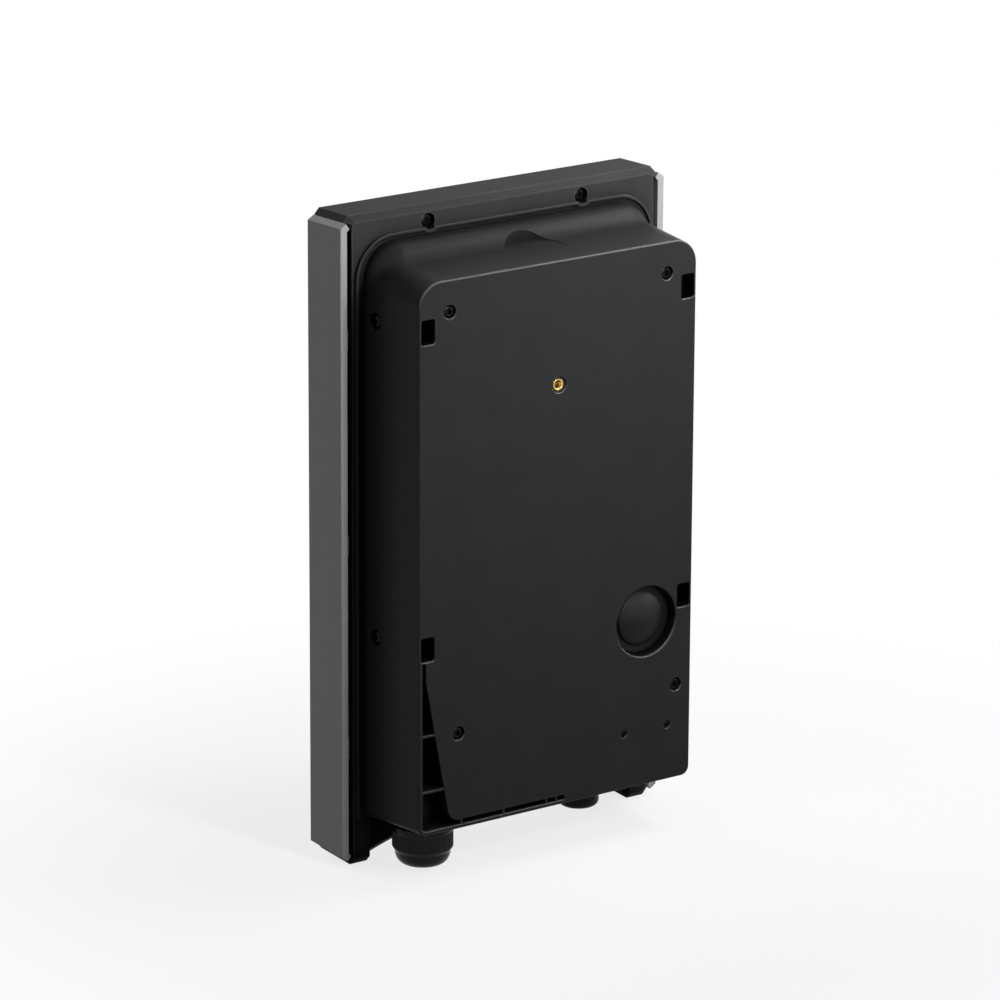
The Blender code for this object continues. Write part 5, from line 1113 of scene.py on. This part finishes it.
def make_blank_head():
    """The plug of the second bottom entry: a rounded head, and a stem with a barb."""
    high = SEAT_Z - GAP
    low = high - BLANK_HEAD_HEIGHT
    stem = SEAT_Z + BLANK_STEM_LENGTH
    tip = stem + BLANK_BARB_LENGTH
    profile = [(0, low)] + arc(BLANK_RADIUS - BLANK_FILLET, low + BLANK_FILLET, BLANK_FILLET, -90, 0, 12) + [
        (BLANK_RADIUS, high - 0.3), (BLANK_RADIUS - 0.3, high), (BLANK_STEM_RADIUS, high),
        (BLANK_STEM_RADIUS, stem), (BLANK_STEM_RADIUS + BARB_REACH, stem + BARB_RISE),
        (BLANK_STEM_RADIUS - BARB_REACH, tip), (0, tip),
    ]
    head = new_object("blank_head", moved(turned(profile, 96), (BLANK_X, GLAND_Y, 0)))
    finished(head, "blank_plug", "box", "rubber", 40)


def make_cap_nut():
    """The gland's cap nut: a rounded collar, fine upright ribs, and a dome round the mouth."""
    around = NUT_RIBS * 6

    def circle(radius, z, rib_depth=0.0):
        points = []
        for step in range(around):
            angle = math.tau * step / around
            wave = 0.5 - 0.5 * math.cos(NUT_RIBS * angle)
            reach = radius - rib_depth * wave**1.5
            points.append((reach * math.cos(angle), reach * math.sin(angle), z))
        return points

    collar_end = NUT_TOP_Z - NUT_COLLAR_HEIGHT
    grip_end = collar_end - NUT_GRIP_HEIGHT
    shoulder_z = grip_end - NUT_SHOULDER_DROP
    collar, collar_foot = rounding(NUT_COLLAR_ROUNDING, 6), rounding(NUT_COLLAR_FOOT_ROUNDING, 4)
    rings = [circle(NUT_RADIUS - back, NUT_TOP_Z - down) for back, down in collar]
    rings += [circle(NUT_RADIUS - back, collar_end + down) for back, down in reversed(collar_foot)][:-1]
    grip = NUT_RADIUS - NUT_GRIP_SINK
    rings.append(circle(grip - 0.1, collar_end + 0.05))
    rings.append(circle(grip, collar_end - 0.4, NUT_RIB_DEPTH))
    rings.append(circle(grip, grip_end + 0.5, NUT_RIB_DEPTH))
    rings.append(circle(grip - 0.3, grip_end, NUT_RIB_DEPTH * 0.5))
    rings.append(circle(NUT_SHOULDER_RADIUS + 0.4, shoulder_z + 0.7))
    dome_height = shoulder_z - NUT_END_Z
    dome_reach = NUT_SHOULDER_RADIUS - NUT_MOUTH_RADIUS - 0.6
    for step in range(15):
        angle = math.pi / 2 * step / 14
        rings.append(circle(NUT_SHOULDER_RADIUS - dome_reach * (1 - math.cos(angle)),
                            shoulder_z - dome_height * math.sin(angle)))
    nut = new_object("cap_nut", moved(loft(rings), (GLAND_X, GLAND_Y, 0)))
    low, high = NUT_END_Z - OVERSHOOT, NUT_TOP_Z + OVERSHOOT
    mouth = [
        (NUT_MOUTH_RADIUS + 0.3, low), (NUT_MOUTH_RADIUS + 0.3, NUT_END_Z),
        (NUT_MOUTH_RADIUS, NUT_END_Z + 0.4),
    ]
    bore = turned([(0, low)] + mouth + [
        (NUT_MOUTH_RADIUS, SLEEVE_CONE_Z - GAP), (SLEEVE_CONE_RADIUS, SLEEVE_CONE_Z),
        (NUT_INNER_RADIUS, SLEEVE_CONE_Z + SLEEVE_CONE + 2 * GAP), (NUT_INNER_RADIUS, high), (0, high),
    ], 96)
    combined(nut, [cutter("bore", moved(bore, (GLAND_X, GLAND_Y, 0)))])
    finished(nut, "gland_nut", "gland_cap", "gland_nylon", 40)


make_frame()
make_trim("trim_bar_left", 1, "trim_left")
make_trim("trim_bar_right", -1, "trim_right")
make_housing()
make_screws()
make_insert()
make_entry_disc()
make_blank_head()
make_cap_nut()


# Camera, lamps, world and floor
def make_camera():
    a, e, roll = (math.radians(v) for v in (CAMERA_AZIMUTH, CAMERA_ELEVATION, CAMERA_ROLL))
    back = Vector((math.sin(a) * math.cos(e), -math.cos(a) * math.cos(e), math.sin(e)))
    right = Vector((math.cos(a), math.sin(a), 0))
    up = back.cross(right)
    turned_right = math.cos(roll) * right + math.sin(roll) * up
    turned_up = -math.sin(roll) * right + math.cos(roll) * up
    data = bpy.data.cameras.new("camera")
    data.sensor_width = SENSOR_WIDTH
    data.lens = FOCAL_PIXELS * SENSOR_WIDTH / IMAGE_SIDE
    data.clip_end = CAMERA_REACH
    camera = bpy.data.objects.new("camera", data)
    rotation = Matrix((turned_right, turned_up, back)).transposed().to_4x4()
    camera.matrix_world = Matrix.Translation(CAMERA_PLACE) @ rotation
    bpy.context.scene.collection.objects.link(camera)
    bpy.context.scene.camera = camera


def make_light(name, place, aim, size, power, spread=math.pi):
    data = bpy.data.lights.new(name, "AREA")
    data.shape = "RECTANGLE"
    data.size, data.size_y = size
    data.energy = power
    data.spread = spread
    light = bpy.data.objects.new(name, data)
    light.location = place
    light.rotation_euler = (Vector(aim) - Vector(place)).to_track_quat("-Z", "Y").to_euler()
    bpy.context.scene.collection.objects.link(light)


def seen_directly(tree):
    """1 for camera, glossy and transmission rays, and 0 for the rays that only carry light."""
    path = tree.nodes.new("ShaderNodeLightPath")
    total = path.outputs["Is Camera Ray"]
    for name in ("Is Glossy Ray", "Is Transmission Ray"):
        total = maths(tree, "MAXIMUM", total, path.outputs[name])
    return total


def make_world(strength):
    world = bpy.data.worlds.new("studio")
    world.use_nodes = True
    tree = world.node_tree
    tree.nodes.clear()
    seen = node(tree, "ShaderNodeBackground", Color=(1, 1, 1, 1), Strength=1.0)
    lit = node(tree, "ShaderNodeBackground", Color=(1, 1, 1, 1), Strength=strength)
    mix = tree.nodes.new("ShaderNodeMixShader")
    tree.links.new(seen_directly(tree), mix.inputs["Fac"])
    tree.links.new(lit.outputs[0], mix.inputs[1])
    tree.links.new(seen.outputs[0], mix.inputs[2])
    out = tree.nodes.new("ShaderNodeOutputWorld")
    tree.links.new(mix.outputs[0], out.inputs["Surface"])
    bpy.context.scene.world = world


make_camera()
make_world(WORLD_LIGHT)
make_light("key", (-0.04, 0.50, 0.26), (-0.05, 0.0, 0.24), (0.08, 0.2), 1.45, 1.9)
make_light("upper", (-0.03, 0.56, 0.66), (-0.05, 0.0, 0.22), (0.09, 0.25), 0.45, 2.0)
make_light("top_right", (-0.24, 0.02, 0.30), (-0.08, -0.04, 0.16), (0.15, 0.15), 0.8)
make_light("edges", (-0.80, 0.42, 1.15), (0, 0, 0.1), (0.25, 0.25), 3.5)
make_light("right", (-1.0, 0.75, 0.12), (0, 0, 0), (0.25, 0.3), 2.4)
make_light("left", (1.5, 0.1, 0.9), (0, 0, 0), (0.8, 1.0), 3.6)
make_light("front", (0.3, -2.0, 1.0), (0, 0, 0), (1.2, 1.0), 14)

bpy.context.scene.view_settings.view_transform = "Standard"


def make_floor():
    """A pale floor that turns white away from the object and keeps its shadow near it."""
    bm = bmesh.new()
    bmesh.ops.create_circle(bm, cap_ends=True, radius=FLOOR_RADIUS, segments=96)
    mesh = bpy.data.meshes.new("floor")
    bm.to_mesh(mesh)
    bm.free()
    floor = bpy.data.objects.new("floor", mesh)
    floor.location.z = FLOOR_Z
    bpy.context.scene.collection.objects.link(floor)
    made, tree, shader = new_material("pale_floor")
    shader.inputs["Roughness"].default_value = 0.9
    shader.inputs["Specular IOR Level"].default_value = 0.0
    seen = seen_directly(tree)
    tree.links.new(scaled(tree, seen, FLOOR_LIT_TONE, FLOOR_SEEN_TONE), shader.inputs["Base Color"])
    place = node(tree, "ShaderNodeTexCoord").outputs["Object"]
    length = node(tree, "ShaderNodeVectorMath", operation="LENGTH")
    tree.links.new(place, length.inputs[0])
    fade = node(tree, "ShaderNodeMapRange", interpolation_type="SMOOTHSTEP")
    fade.inputs["From Min"].default_value = FLOOR_FADE_START
    fade.inputs["From Max"].default_value = FLOOR_FADE_END
    fade.inputs["To Min"].default_value = FLOOR_FADE_LEAST
    tree.links.new(length.outputs["Value"], fade.inputs["Value"])
    far = maths(tree, "MULTIPLY", seen, fade.outputs["Result"])
    white = node(tree, "ShaderNodeEmission", Color=(1, 1, 1, 1), Strength=1.0)
    mix = tree.nodes.new("ShaderNodeMixShader")
    tree.links.new(far, mix.inputs["Fac"])
    tree.links.new(shader.outputs[0], mix.inputs[1])
    tree.links.new(white.outputs[0], mix.inputs[2])
    tree.links.new(mix.outputs[0], tree.nodes["Material Output"].inputs["Surface"])
    mesh.materials.append(made)


make_floor()
